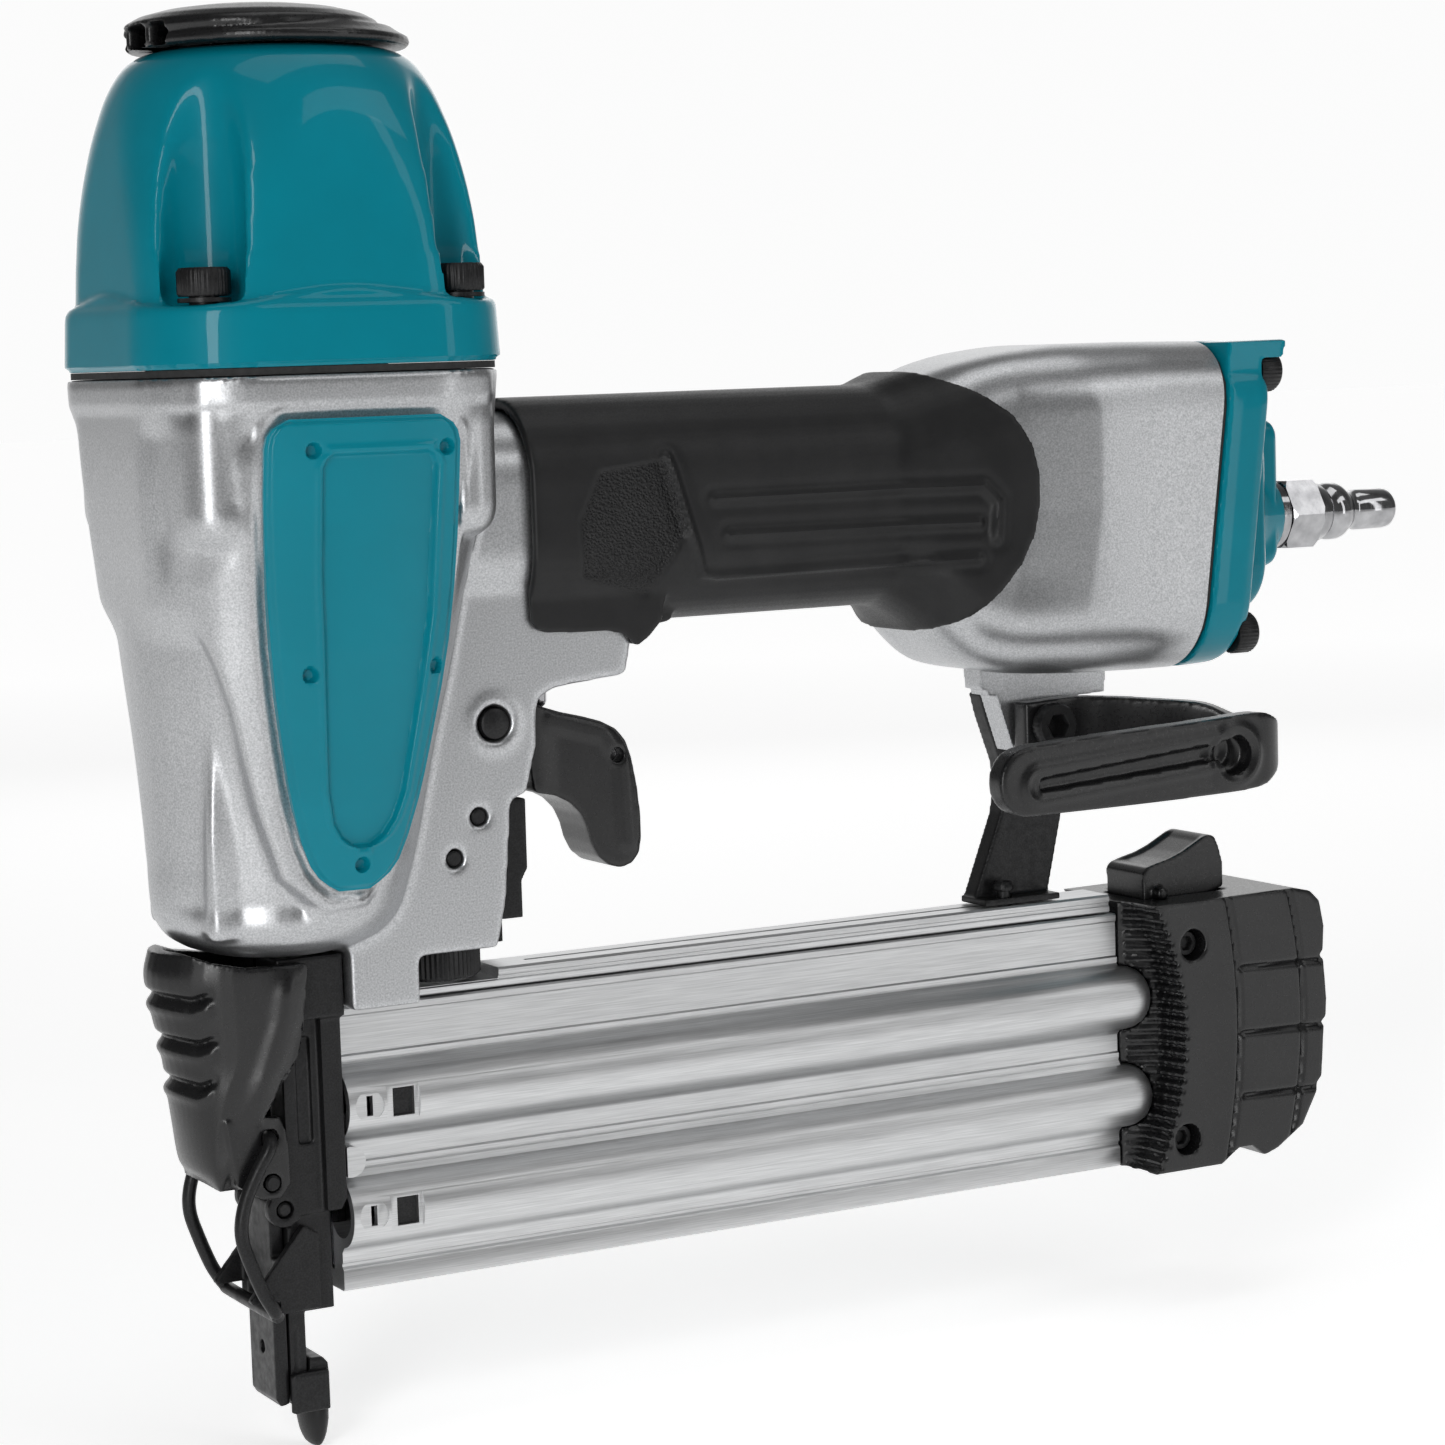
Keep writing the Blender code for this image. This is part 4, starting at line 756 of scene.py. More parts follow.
def badge_plate(side):
    """Curved plate over the badge outline, from back to front measured out of the badge's face."""
    grow, back, front, columns, rows = 0.4, -5.0, 1.1, 130, 300
    table = [(z, left - grow, right + grow) for z, left, right in BADGE]
    bottom, top = table[0][0] - grow, table[-1][0] + grow
    table[0], table[-1] = (bottom, *table[0][1:]), (top, *table[-1][1:])
    rings = []
    for z in bottom + (top - bottom) * (1 - np.cos(np.linspace(0.0, math.pi, rows + 1))) / 2:
        face, fall = straight_row(BADGE_FACE, z)
        xs = np.linspace(*straight_row(table, z), columns + 1)
        middle = face - fall * (xs - 1.0) ** 2
        outer, inner = middle + front + badge_relief(xs, z), middle + back
        ring = list(zip(xs, outer)) + list(zip(xs[::-1], inner[::-1]))
        rings.append([(float(x), float(side * y), float(z)) for x, y in ring])
    return loft(rings)


def make_badges():
    for side, node in ((-1, "side_badge_near"), (1, "side_badge_far")):
        put(f"{node}_plate", badge_plate(side), node)


# ---------------------------------------------------------------- cap
def cap_relief(points, normals):
    """Soft ledge between the flange and the dome, higher between the screws."""
    x, y, z = points.T
    outer = (x * normals[:, 0] + y * normals[:, 1]) / (np.hypot(x, y) + 1e-9) > 0.3
    around = np.degrees(np.arctan2(np.abs(y), np.abs(x)))
    between = np.cos(np.radians(4 * around)) * 0.5 + 0.5
    ledge = 9.6 + 2.6 * between
    wall = outer * (z > 0.5) * (np.maximum(abs(x), abs(y)) > 22.0)
    return 0.6 * (1 - rise(z, ledge - 0.5, ledge + 0.5)) * wall


def make_cap():
    flange = [(0.0, CAP_HALF, 16.5), (9.0, 30.4, 16.5), (10.0, 29.9, 16.5)]
    dome = [(10.6, 29.5, 16.8), (16.7, 29.4, 17.6), (21.5, 29.3, 18.4), (28.0, 29.0, 20.5),
            (35.9, 28.2, 23.4), (42.3, 26.9, 25.2), (46.4, 25.2, 24.9), (49.4, 22.8, 22.7),
            (CAP_TOP, 19.6, 19.5)]
    rows = flange + smooth_rows(dome, 44)
    body = loft([rounded_square(0.0, half, min(corner, half - 0.05), z, 18) for z, half, corner in rows])
    cuts = [rod("Z", (HEAD_X, 0), 20.5, -5, 32), rod("Z", (HEAD_X, 0), 12.5, 30, 44),
            rod("Z", (0, 0), 2.6, 40, 60)]
    recess = [(0, 10.0), (6.0, 10.0), (6.9, 11.5), (6.9, 30.0), (6.2, 46.0), (6.2, 60.0), (0, 60.0)]
    cuts += [lathe(recess, "Z", place, 40) for place in SCREWS]
    shell = soften(combine(body, cut(*cuts)), 4, 0.6)
    for _ in range(26):
        upper = [v for v in shell.verts if v.co.z > 17.5 and v.co.xy.length > 18.0]
        bmesh.ops.smooth_vert(shell, verts=upper, factor=0.5,
                              use_axis_x=True, use_axis_y=True, use_axis_z=True)
    put("cap_shell", sculpt(shell, cap_relief), "cylinder_cap")

    outside = [rounded_square(0.0, 30.45, 16.5, z, 12) for z in (-1.15, -0.6, -0.05)]
    turns = [2 * math.pi * (k + 0.5) / 48 for k in range(48)]
    inside = [[(HEAD_X + 22.0 * math.cos(t), 22.0 * math.sin(t), z) for t in turns] for z in (-0.05, -1.15)]
    put("gasket_sheet", loft(outside + inside, joined=True), "cap_gasket")


def hexagon(radius, angle):
    """Distance from the middle of a hexagon to its side, in a direction."""
    return radius * math.cos(math.pi / 6) / math.cos((angle % (math.pi / 3)) - math.pi / 6)


def turned_ring(axis, centre, level, teeth, reach):
    """Ring of four points a tooth; reach(angle) is its radius."""
    angles = [2 * math.pi * k / (teeth * 4) for k in range(teeth * 4)]
    return [placed(axis, centre[0] + reach(a) * math.cos(a), centre[1] + reach(a) * math.sin(a), level)
            for a in angles]


def ribbed(radius, teeth, depth):
    return lambda angle: radius - depth * (0.5 - 0.5 * math.cos(angle * teeth))


def knurled_head(axis, centre, radius, low, high, teeth, socket, depth=0.16):
    """Screw head with a ribbed rim and a hexagon socket of the given size."""
    sign = 1 if high > low else -1
    rows = [(low, ribbed(radius - 0.3, teeth, 0)), (low + 0.35 * sign, ribbed(radius, teeth, depth)),
            (high - 0.6 * sign, ribbed(radius, teeth, depth)), (high, ribbed(radius - 0.45, teeth, 0))]
    for level, size in ((high, socket + 0.25), (high - 0.3 * sign, socket), (high - 2.6 * sign, socket)):
        rows.append((level, lambda angle, size=size: hexagon(size, angle)))
    return loft([turned_ring(axis, centre, level, teeth, reach) for level, reach in rows])


def make_cap_screws():
    for index, place in enumerate(SCREWS, 1):
        head = knurled_head("Z", place, 4.25, 11.3, 15.7, 36, 2.3)
        washer, shank = rod("Z", place, 4.2, 10.35, 11.0), rod("Z", place, 2.4, 5, 12)
        put(f"cap_screw_head_{index}", combine(head, add(washer, shank)), f"cap_screw_{index}")


def make_deflector():
    base = lathe([(17.3, 51.3), (22.6, 51.3), (23.1, 51.9), (22.9, 52.8), (21.4, 53.6), (20.0, 54.6),
                  (17.3, 54.6)],
                 "Z", (0, 0))
    hood = lathe([(0, 53.6), (20.2, 53.6), (20.9, 54.2), (20.4, 55.4), (18.4, 56.5), (14.5, 57.5),
                  (10.0, 58.1), (5.5, 58.25), (5.3, 57.0), (2.9, 57.0), (0, 57.0)], "Z", (-2.7, 0))
    hollow = rod("Z", (0, 0), 17.2, 50, 54.5)
    outlet = prism(arc((0, 0), 26.0, 158, 202, 12) + [(-12, -7.6), (-12, 7.6)], "Z", 51.6, 54.9)
    teeth = [box((-22.4, y - 0.7, 51.9), (-20.4, y + 0.7, 54.6)) for y in (-4.6, 4.6)]
    shell = combine(base, add(hood), cut(hollow, outlet), add(*teeth),
                    cut(rod("Z", (0, 0), 5.3, 56.9, 60), rod("Z", (0, 0), 2.9, 50, 60)))
    put("deflector_hood", soften(shell, 3, 0.38), "exhaust_deflector")
    put("deflector_bolt_head", knurled_head("Z", (0, 0), 4.85, 57.35, 58.6, 30, 2.4, 0.05), "deflector_bolt")


# ---------------------------------------------------------------- grip and rear
def grow_row(row, grow):
    top, bottom, half, corner = row
    return top + grow, bottom - grow, half + grow, corner + grow


GRIP_PATCH = [(45.5, -27.0), (49.5, -18.8), (62.5, -17.2), (66.2, -29.7), (59.1, -41.2), (46.0, -37.0),
              (45.5, -27.0)]
GRIP_RIBS = [[(71.2, -24.8), (122.5, -24.6), (125.0, -27.5), (124.6, -34.0)],
             [(73.9, -31.0), (121.6, -31.2)],
             [(62.5, -17.2), (66.4, -29.7), (69.0, -37.4), (72.0, -38.0), (121.3, -37.4)]]
# rear edge of the rubber sleeve seen from the side, in (x, z)
GRIP_END = [(110.5, -2.0), (117.0, -4.6), (123.5, -8.2), (128.6, -12.4), (131.8, -17.4), (133.2, -23.0),
            (133.1, -28.6), (131.9, -34.0), (129.4, -39.0), (125.6, -43.6), (121.0, -47.6), (116.0, -50.8),
            (111.0, -53.0)]


def make_grip():
    rows = [row for row in smooth_rows([row for row in HANDLE if row[0] > 50.0], 60) if row[0] < 140.0]
    rows = [(37.0, *rows[0][1:])] + rows

    def tube(grow):
        return loft([upright_ring(x, *grow_row(rest, grow)) for x, *rest in rows])

    behind = prism(GRIP_END + [(145.0, -70.0), (150.0, -2.0), (145.0, 6.0), (108.0, 6.0)], "Y", -40, 40)
    under = box((30, -12.8, -60), (57.0, 12.8, -37.0))
    skirt = prism([(37.2, -34.0), (37.2, -43.6), (38.0, -45.0), (40.0, -45.9), (51.5, -46.2), (54.8, -47.0),
                   (57.0, -49.2), (59.5, -47.6), (62.0, -45.0), (64.0, -34.0)], "Y", -13.9, 13.9)
    tongue = prism([(56.9, -43.0), (57.0, -47.9), (57.8, -48.9), (59.6, -47.9), (61.5, -46.3), (66.0, -45.4),
                    (66.0, -43.0)], "Y", -9.8, 9.8)
    sleeve = combine(tube(2.2), add(skirt), cut(tube(0.3), under, behind), add(tongue))

    def relief(points, normals):
        x, y, z = points.T
        side = rise(np.abs(y), 12.5, 15.5) * (normals[:, 1] * y > 0.2)
        depth = np.zeros_like(x)
        for path in GRIP_RIBS:
            away = distance_to_path(x, z, path)
            depth += 0.75 * np.exp(-(away / 0.6) ** 2) - 0.25 * np.exp(-((away - 1.7) / 0.8) ** 2)
        edge = distance_to_path(x, z, GRIP_PATCH)
        depth -= 0.7 * inside_outline(x, z, GRIP_PATCH) * rise(edge, 0.0, 0.8)
        return depth * side

    sleeve = soften(sculpt(soften(sleeve, 5, 0.46), relief), 3)
    x, y, z = np.array([v.co for v in sleeve.verts]).T
    edge = distance_to_path(x, z, GRIP_PATCH)
    grain = inside_outline(x, z, GRIP_PATCH) * rise(edge, 0.2, 1.0) * rise(np.abs(y), 12.5, 15.0)
    put("grip_sleeve", sleeve, "handle_grip", attributes={"grain": grain.astype(np.float32)})


REAR_SCREWS = [(side * 17.6, z) for side in (-1, 1) for z in (-6.4, -54.4)]
PLUG = (0, -34.1)


def seat_x(z):
    """Where the heads of the rear cap's screws rest, on its tilted face."""
    return 181.0 + REAR_TILT * (z - REAR_Z)


def make_rear():
    def seam(offset, top, bottom, half, corner):
        return upright_ring(REAR_X + offset, top, bottom, half, corner, REAR_TILT)

    start = 1.3
    body = loft([seam(start, -0.6, -60.4, 23.3, 12.0), seam(5.0, -0.6, -60.3, 23.25, 12.0),
                 seam(8.6, -0.8, -60.1, 23.1, 11.7), seam(10.4, -1.4, -59.5, 22.5, 11.2),
                 seam(11.3, -2.6, -58.4, 21.4, 10.3)])
    visor = prism([(168, -0.9), (189.5, -0.7), (188.6, -3.4), (184.0, -8.6), (168, -8.6)], "Y", -21.5, 12.0)
    boss = loft([upright_ring(x, top, bottom, half, 9.0) for x, top, bottom, half in
                 ((170, -12.0, -52.0, 17.0), (187.2, -12.8, -51.0, 16.6), (188.6, -14.2, -49.6, 15.2))])
    plate = loft([upright_ring(x, top, bottom, half, 2.6) for x, top, bottom, half in
                  ((178, -15.6, -49.0, 9.4), (195.6, -15.9, -43.0, 9.0), (196.7, -16.7, -42.0, 8.2))])
    cone = lathe([(0, 180), (13.4, 180), (13.4, 188.0), (10.6, 192.6), (7.6, 199.0), (7.0, 199.3),
                  (0, 199.3)], "X", PLUG, 48)
    face = [(REAR_X + start + REAR_TILT * (z - REAR_Z), z) for z in (0.0, -60.6)]
    cuts = [prism([(150, 0), *face, (150, -60.6)], "Y", -30, 30), rod("X", PLUG, 5.3, 186.0, 205)]
    cuts += [rod("X", place, 4.5, seat_x(place[1]), 215) for place in REAR_SCREWS]
    cap = combine(body, add(visor, boss, plate, cone), cut(*cuts))
    put("rear_cap_shell", soften(cap, 3, 0.5), "rear_cap")
    for index, (y, z) in enumerate(REAR_SCREWS, 1):
        seat = seat_x(z) + 0.3
        head = knurled_head("X", (y, z), 3.9, seat, seat + 4.5, 32, 2.0)
        put(f"rear_screw_head_{index}", head, f"rear_cap_screw_{index}")

    nipple = lathe(
        [(5.0, 190.0), (5.0, 199.4), (6.5, 199.5), (6.5, 201.4), (5.6, 201.9), (5.6, 209.2), (5.9, 209.6),
         (5.6, 211.6), (4.9, 212.8), (5.3, 213.5), (5.5, 214.3), (5.5, 215.9), (5.2, 216.8), (4.0, 218.4),
         (3.55, 219.4), (3.6, 220.4), (3.9, 221.0), (3.9, 227.4), (3.7, 228.5), (3.2, 229.1), (2.4, 229.1),
         (2.2, 228.6), (2.2, 190.0)], "X", PLUG, 64)
    flats = prism(circle(PLUG, 7.4, 6), "X", 201.7, 209.2)
    chamfer = lathe([(0, 201.5), (6.6, 201.5), (7.5, 202.5), (7.5, 208.4),
                     (6.6, 209.4), (0, 209.4)], "X", PLUG)
    plug = combine(nipple, add(combine(flats, meet(chamfer))), cut(rod("X", PLUG, 2.2, 185, 235)))
    put("air_plug_body", plug, "air_plug")


# ---------------------------------------------------------------- trigger group
LEVER_PIN = (56.6, -68.3)


def cross_pin(place, radius, half_length, flat):
    """Pin across the tool with bevelled ends; flat is the radius of its end faces."""
    end = [(radius, half_length - 0.3), (flat, half_length), (0, half_length)]
    return lathe([(r, -level) for r, level in end[::-1]] + end, "Y", place, 32)


def make_trigger():
    outline = arc(TRIGGER_PIN, 4.7, 250, 100, 16) + [
        (41.6, -58.6), (46.0, -60.1), (50.0, -61.1), (53.6, -62.2), (56.4, -63.7), (58.2, -65.8),
        (59.3, -69.0), (60.2, -74.0), (60.7, -79.0), (60.7, -83.0), (60.2, -85.6), (58.8, -87.3),
        (56.6, -88.0), (54.2, -87.3), (52.2, -85.6), (51.0, -83.2), (50.3, -80.4), (49.2, -78.0),
        (47.2, -75.9), (44.4, -74.4), (40.6, -73.6), (39.8, -69.0), (39.4, -65.6)]
    blade = prism(outline, "Y", -5.9, 5.9)
    slot = prism([(32, -50), (62, -50), (62, -70.8), (54, -72.5), (32, -69.8)], "Y", -2.3, 2.3)
    holes = [rod("Y", TRIGGER_PIN, 2.9, -10, 10), rod("Y", LEVER_PIN, 1.3, -10, 10, 32)]
    blade = combine(blade, cut(slot, *holes))

    def relief(points, normals):
        x, _, z = points.T
        flank = np.abs(normals[:, 1]) > 0.6
        edge = distance_to_path(x, z, [(44.0, -61.5), (54.0, -64.5), (57.6, -70.0), (58.2, -83.5)])
        return -0.35 * flank * rise(x, 41.0, 46.0) * rise(edge, 0.6, 2.4)

    put("trigger_blade", sculpt(soften(blade, 14, 0.34), relief), "trigger")
    pin = lathe([(0, -13.1), (2.0, -13.1), (2.5, -12.8), (2.62, -12.4), (2.62, 12.4), (2.5, 12.8),
                 (2.0, 13.1), (0, 13.1)], "Y", TRIGGER_PIN, 48)
    put("trigger_pivot", pin, "trigger_pin")
    for index, place in enumerate(DOWELS, 1):
        put(f"dowel_{index}", cross_pin(place, 1.3, 12.1, 1.0), f"dowel_pin_{index}")
    outline = arc(LEVER_PIN, 2.4, -90, 90, 16) + [(50.0, -64.2), (44.0, -62.0), (36.5, -63.4), (36.5, -65.2),
                                                  (44.0, -64.2), (50.0, -66.8)]
    lever = prism(outline, "Y", -1.9, 1.9)
    lever = combine(lever, add(rod("Y", LEVER_PIN, 1.05, -3.0, 3.0, 32)))
    put("safety_rocker", soften(lever, 2, 0.2), "trigger_lever")
    stem = lathe([(0, -59.5), (1.1, -59.5), (1.6, -59.1), (1.9, -58.4), (1.9, -49.9), (4.6, -49.9),
                  (4.6, -48.7), (1.9, -48.7), (1.9, -36.0), (0, -36.0)], "Z", (STEM_X, 0), 40)
    put("valve_plunger", stem, "valve_stem")


# ---------------------------------------------------------------- nose, latch and contact arm
LATCH_PIN, BAIL_PIN, DOOR_PIN = (-11.8, -133.2), (-12.0, -125.7), (-8.9, -138.6)
BAIL_BAR = (-12.5, -155.2)


def make_nose():
    half = 5.6
    upper = prism([(-8.3, -106.8), (-8.3, -130.2), (-12.6, -130.4), (-14.6, -132.0), (-14.6, -134.6),
                   (-12.6, -136.2), (-8.3, -136.2), (-8.3, -139.8), (-0.6, -139.8),
                   (-0.6, -106.8)], "Y", -7.9, 7.9)
    flange = box((-9.5, -10.2, -106.9), (2.2, 10.2, -96.5))
    middle = box((-8.3, -7.0, -156.4), (-0.6, 7.0, -139.0))
    lower = box((-8.3, -half, -172.3), (-5.3, half, -150.0))
    rim = prism([(-2.0, -106.8), (1.7, -106.8), (1.7, -137.6), (0.6, -139.5), (-2.0, -139.5)], "Y", -9.4, 9.4)
    ears = [rod("Y", DOOR_PIN, 3.0, side * 6.9 - 1.0, side * 6.9 + 1.0) for side in (-1, 1)]
    cuts = [box((-12, -1.4, -180), (-6.1, 1.4, -106.0)), box((-7, -0.85, -152.0), (5, 0.85, -106.2)),
            rod("Z", (BORE_X, 0), 2.4, -110, -90, 32), rod("Y", LATCH_PIN, 1.6, -15, 15, 32),
            rod("Y", DOOR_PIN, 1.5, -15, 15, 32), box((-13.0, -5.9, -143.5), (-8.6, 5.9, -136.0)),
            box((0.4, -3.6, -139.6), (5.0, 3.6, -107.0)),
            prism([(-6.0, -110.0), (-3.4, -110.0), (-3.4, -128.0), (-6.0, -128.0)], "Y", -12, -7.2),
            prism([(-6.4, -158.0), (-7.6, -160.0), (-7.6, -166.0), (-6.4, -168.0)], "Y", -12, -5.2)]
    guide = combine(upper, add(flange, middle, lower, rim, *ears), cut(*cuts))
    put("nose_guide", soften(guide, 2, 0.3), "driver_guide")

    plate = prism([(-11.0, -140.6), (-10.9, -137.6), (-10.0, -136.8), (-9.5, -137.1), (-8.6, -138.6),
                   (-8.6, -172.0), (-10.2, -172.3), (-11.0, -171.0)], "Y", -half, half)
    key = box((-9.2, -1.1, -172.0), (-7.9, 1.1, -143.0))
    crossbar = box((-10.9, -8.9, -155.6), (-8.6, 8.9, -146.8))
    wing = [(-6.2, -141.4), (-16.0, -152.8), (-15.8, -153.4), (-10.3, -153.4), (-10.3, -155.8),
            (-3.6, -155.6), (-3.6, -143.0)]
    wings = [prism(wing, "Y", low, high) for low, high in ((-8.9, -7.4), (7.4, 8.9))]
    holes = cut(rod("Y", DOOR_PIN, 1.5, -15, 15, 32), rod("X", (0.0, -163.0), 1.1, -14, -9.9, 24))
    put("nose_door_plate", soften(combine(plate, add(key, crossbar, *wings), holes), 2, 0.26), "nose_door")
    put("door_pin_body", cross_pin(DOOR_PIN, 1.2, 7.8, 0.9), "door_pin")
    put("latch_pin_body", cross_pin(LATCH_PIN, 1.3, 10.6, 0.975), "latch_pin")


# the latch lever's sections: z, front in x, half width, rear in x
LATCH_ROWS = [(-94.4, -27.2, 13.2, -5.6), (-98.5, -28.2, 13.4, -5.2), (-104.0, -27.4, 13.2, -5.4),
              (-112.0, -25.8, 12.6, -6.4), (-118.0, -25.0, 11.5, -10.8), (-124.5, -24.0, 10.2, -14.2),
              (-130.5, -22.8, 9.6, -15.6), (-134.0, -20.0, 8.0, -16.4)]
LATCH_GROOVES = (-101.5, -108.8, -115.9)


def make_latch():
    wall, edge = 2.6, 4.0
    turns = [math.radians(t) for t in np.linspace(64, -64, 17)]

    def bow(front, half, rear):
        """Half of the section: a round front with a straight edge at each side."""
        round_part = [(front + (rear - edge - front) * (1 - math.cos(a)), half * math.sin(a)) for a in turns]
        return [(rear, half), (rear - edge, half)] + round_part + [(rear - edge, -half), (rear, -half)]

    rings = [[(x, y, z) for x, y in bow(front, half, rear) + bow(front + wall, half - wall, rear)[::-1]]
             for z, front, half, rear in smooth_rows(LATCH_ROWS, 40)]
    ear = [(-19.5, -122.0), (-9.9, -122.4), (-8.9, -125.0), (-8.6, -133.6), (-10.6, -136.0), (-13.6, -135.8),
           (-18.0, -133.0)]
    ears = [prism(ear, "Y", low, high) for low, high in ((-10.3, -8.2), (8.2, 10.3))]
    top = prism([(-40, -85), (-40, -92.6), (-27.5, -93.2), (-24.5, -94.2), (-20.0, -96.0), (-15.0, -97.0),
                 (0, -97.0), (0, -85)], "Y", -30, 30)
    shell = combine(loft(rings), add(*ears), cut(top, rod("Y", LATCH_PIN, 1.55, -20, 20, 32),
                                                 rod("Y", BAIL_PIN, 1.5, -20, 20, 32)))

    def relief(points, normals):
        """Grooves with a lip below each, and the raised ridge along the lever's side."""
        x, y, z = points.T
        rows = np.array(sorted(LATCH_ROWS))
        front = np.interp(z, rows[:, 0], rows[:, 1])
        half = np.interp(z, rows[:, 0], rows[:, 2])
        outside = (normals[:, 0] * (x + 8.0) + normals[:, 1] * y > 0.0) & (x < 0.0)
        swing = np.degrees(np.arcsin(np.clip(y / half, -1, 1)))
        depth = np.zeros_like(x)
        for level in LATCH_GROOVES:
            line = level - 0.00045 * swing ** 2 + 1.6 * rise(np.abs(swing), 36.0, 54.0)
            reach = 1 - rise(np.abs(swing), 46.0, 54.0)
            depth -= 0.95 * np.exp(-((z - line) / 0.8) ** 2) * reach
            depth += 0.45 * np.exp(-((z - line + 2.0) / 1.0) ** 2) * reach
        ridge = np.interp(z, [-130.0, -115.7, -105.9, -98.0], [-15.5, -13.1, -9.9, -8.6])
        depth += 0.9 * np.exp(-((x - ridge) / 2.2) ** 2) * rise(z, -96.0, -102.0) * rise(z, -128.0, -115.0)
        depth -= 0.6 * rise(x - ridge, 2.0, 4.5) * rise(z, -96.0, -102.0) * rise(z, -128.0, -118.0)
        return depth * outside * (front < 0)

    put("latch_shell", sculpt(soften(shell, 3, 0.34), relief), "latch_lever")

    bx, bz = BAIL_PIN
    ex, ez = BAIL_BAR
    leg = 12.2
    side = [(bx, 8.9, bz), (bx - 0.3, leg - 0.9, bz - 0.2), (bx - 1.0, leg, bz - 1.6),
            (bx - 2.6, leg, bz - 4.0), (bx - 5.0, leg, bz - 8.5), (bx - 6.2, leg, bz - 12.5),
            (bx - 6.2, leg, bz - 16.0), (bx - 5.0, leg, bz - 20.0), (ex - 2.6, leg, ez + 4.6),
            (ex - 1.2, leg, ez + 2.0), (ex - 0.2, leg - 0.7, ez + 0.4), (ex, leg - 2.4, ez)]
    path = smooth_path(side + [(x, -y, z) for x, y, z in reversed(side)], 6)
    put("bail_wire", sweep(path, 1.15, 16), "latch_bail")


def make_contact():
    foot = prism([(-5.0, -164.8), (-5.0, -173.4), (-4.6, -173.8), (-1.6, -173.8), (-1.6, -166.0),
                  (-2.6, -164.8)], "Y", -5.9, 5.9)
    cheeks = [box((-8.2, side * 6.55 - 0.65, -173.6), (-2.0, side * 6.55 + 0.65, -166.8)) for side in (-1, 1)]
    beads = [rod("Z", (-7.9, side * 6.5), 0.85, -173.4, -167.0, 24) for side in (-1, 1)]
    bars = [box(low, high) for low, high in (
        ((-4.8, 4.0, -169.4), (-2.0, 14.3, -164.8)), ((-4.6, 12.9, -169.4), (0.4, 14.4, -104.6)),
        ((-4.6, 12.9, -110.0), (37.6, 14.4, -104.6)), ((33.6, 12.9, -110.0), (37.6, 14.4, -95.0)),
        ((33.6, 3.0, -100.0), (37.6, 14.4, -95.0)), ((17.2, 12.9, -105.8), (22.8, 16.6, -104.6)))]
    holes = [rod("Y", place, 1.1, 10, 18, 24) for place in ((-2.2, -150.0), (10.0, -107.3))]
    put("contact_bar", soften(combine(foot, add(*cheeks, *beads, *bars), cut(*holes)), 2, 0.3), "contact_arm")
    yoke = prism([(33.6, -74.2), (38.9, -74.3), (38.8, -86.3), (37.6, -88.4), (37.6, -94.7),
                  (33.6, -94.7)], "Y", -5.5, 5.5)
    dent, hollow = box((38.2, -4.3, -84.0), (40, 4.3, -76.0)), box((30, -4.6, -92.0), (36.0, 4.6, -77.0))
    put("trip_yoke", soften(combine(yoke, cut(dent, hollow)), 2, 0.28), "contact_yoke")
    levels = ((-173.9, 2.2, 4.4), (-174.6, 2.35, 4.55), (-176.4, 2.3, 4.5), (-177.6, 2.1, 4.3),
              (-178.8, 1.85, 4.0), (-179.8, 1.5, 3.6), (-180.6, 1.1, 3.0), (-181.0, 0.7, 2.4),
              (-181.1, 0.3, 1.6))
    turns = [2 * math.pi * k / 40 for k in range(40)]
    tip = loft([[(-2.6 + rx * math.cos(t), ry * math.sin(t), z) for t in turns] for z, rx, ry in levels])
    put("no_mar_pad", tip, "no_mar_tip")

    ribs = 50
    wheel = [turned_ring("Z", (DIAL_X, 0), z, ribs, ribbed(radius, ribs, depth)) for z, radius, depth in (
        (-98.6, 3.0, 0), (-98.6, 6.6, 0), (-99.0, 7.25, 0.3), (-103.2, 7.25, 0.3), (-103.6, 6.9, 0.1),
        (-104.1, 6.2, 0), (-104.1, 3.0, 0))]
    put("depth_wheel", loft(wheel, joined=True), "depth_dial")
    thread = [(2.5 - 0.25 * (i % 2), -103.2 + 0.4 * i) for i in range(38)]
    screw = [(0, -104.4), (2.3, -104.4), (2.6, -104.1), (2.5, -103.6)] + thread + [(2.4, -88.0), (0, -88.0)]
    put("depth_thread", lathe(screw, "Z", (DIAL_X, 0), 32), "depth_screw")


# ---------------------------------------------------------------- magazine
BULGE_Z = (-122.6, -141.2)
BULGE_Y, BULGE_R, BULGE_BORE = 4.6, 6.0, 4.4
MAG_FRONT, MAG_BACK = 2.2, 160.0
END_SCREWS = ((170.6, -112.4), (168.6, -149.0))
BUTTON_PIN = (168.6, -103.4)


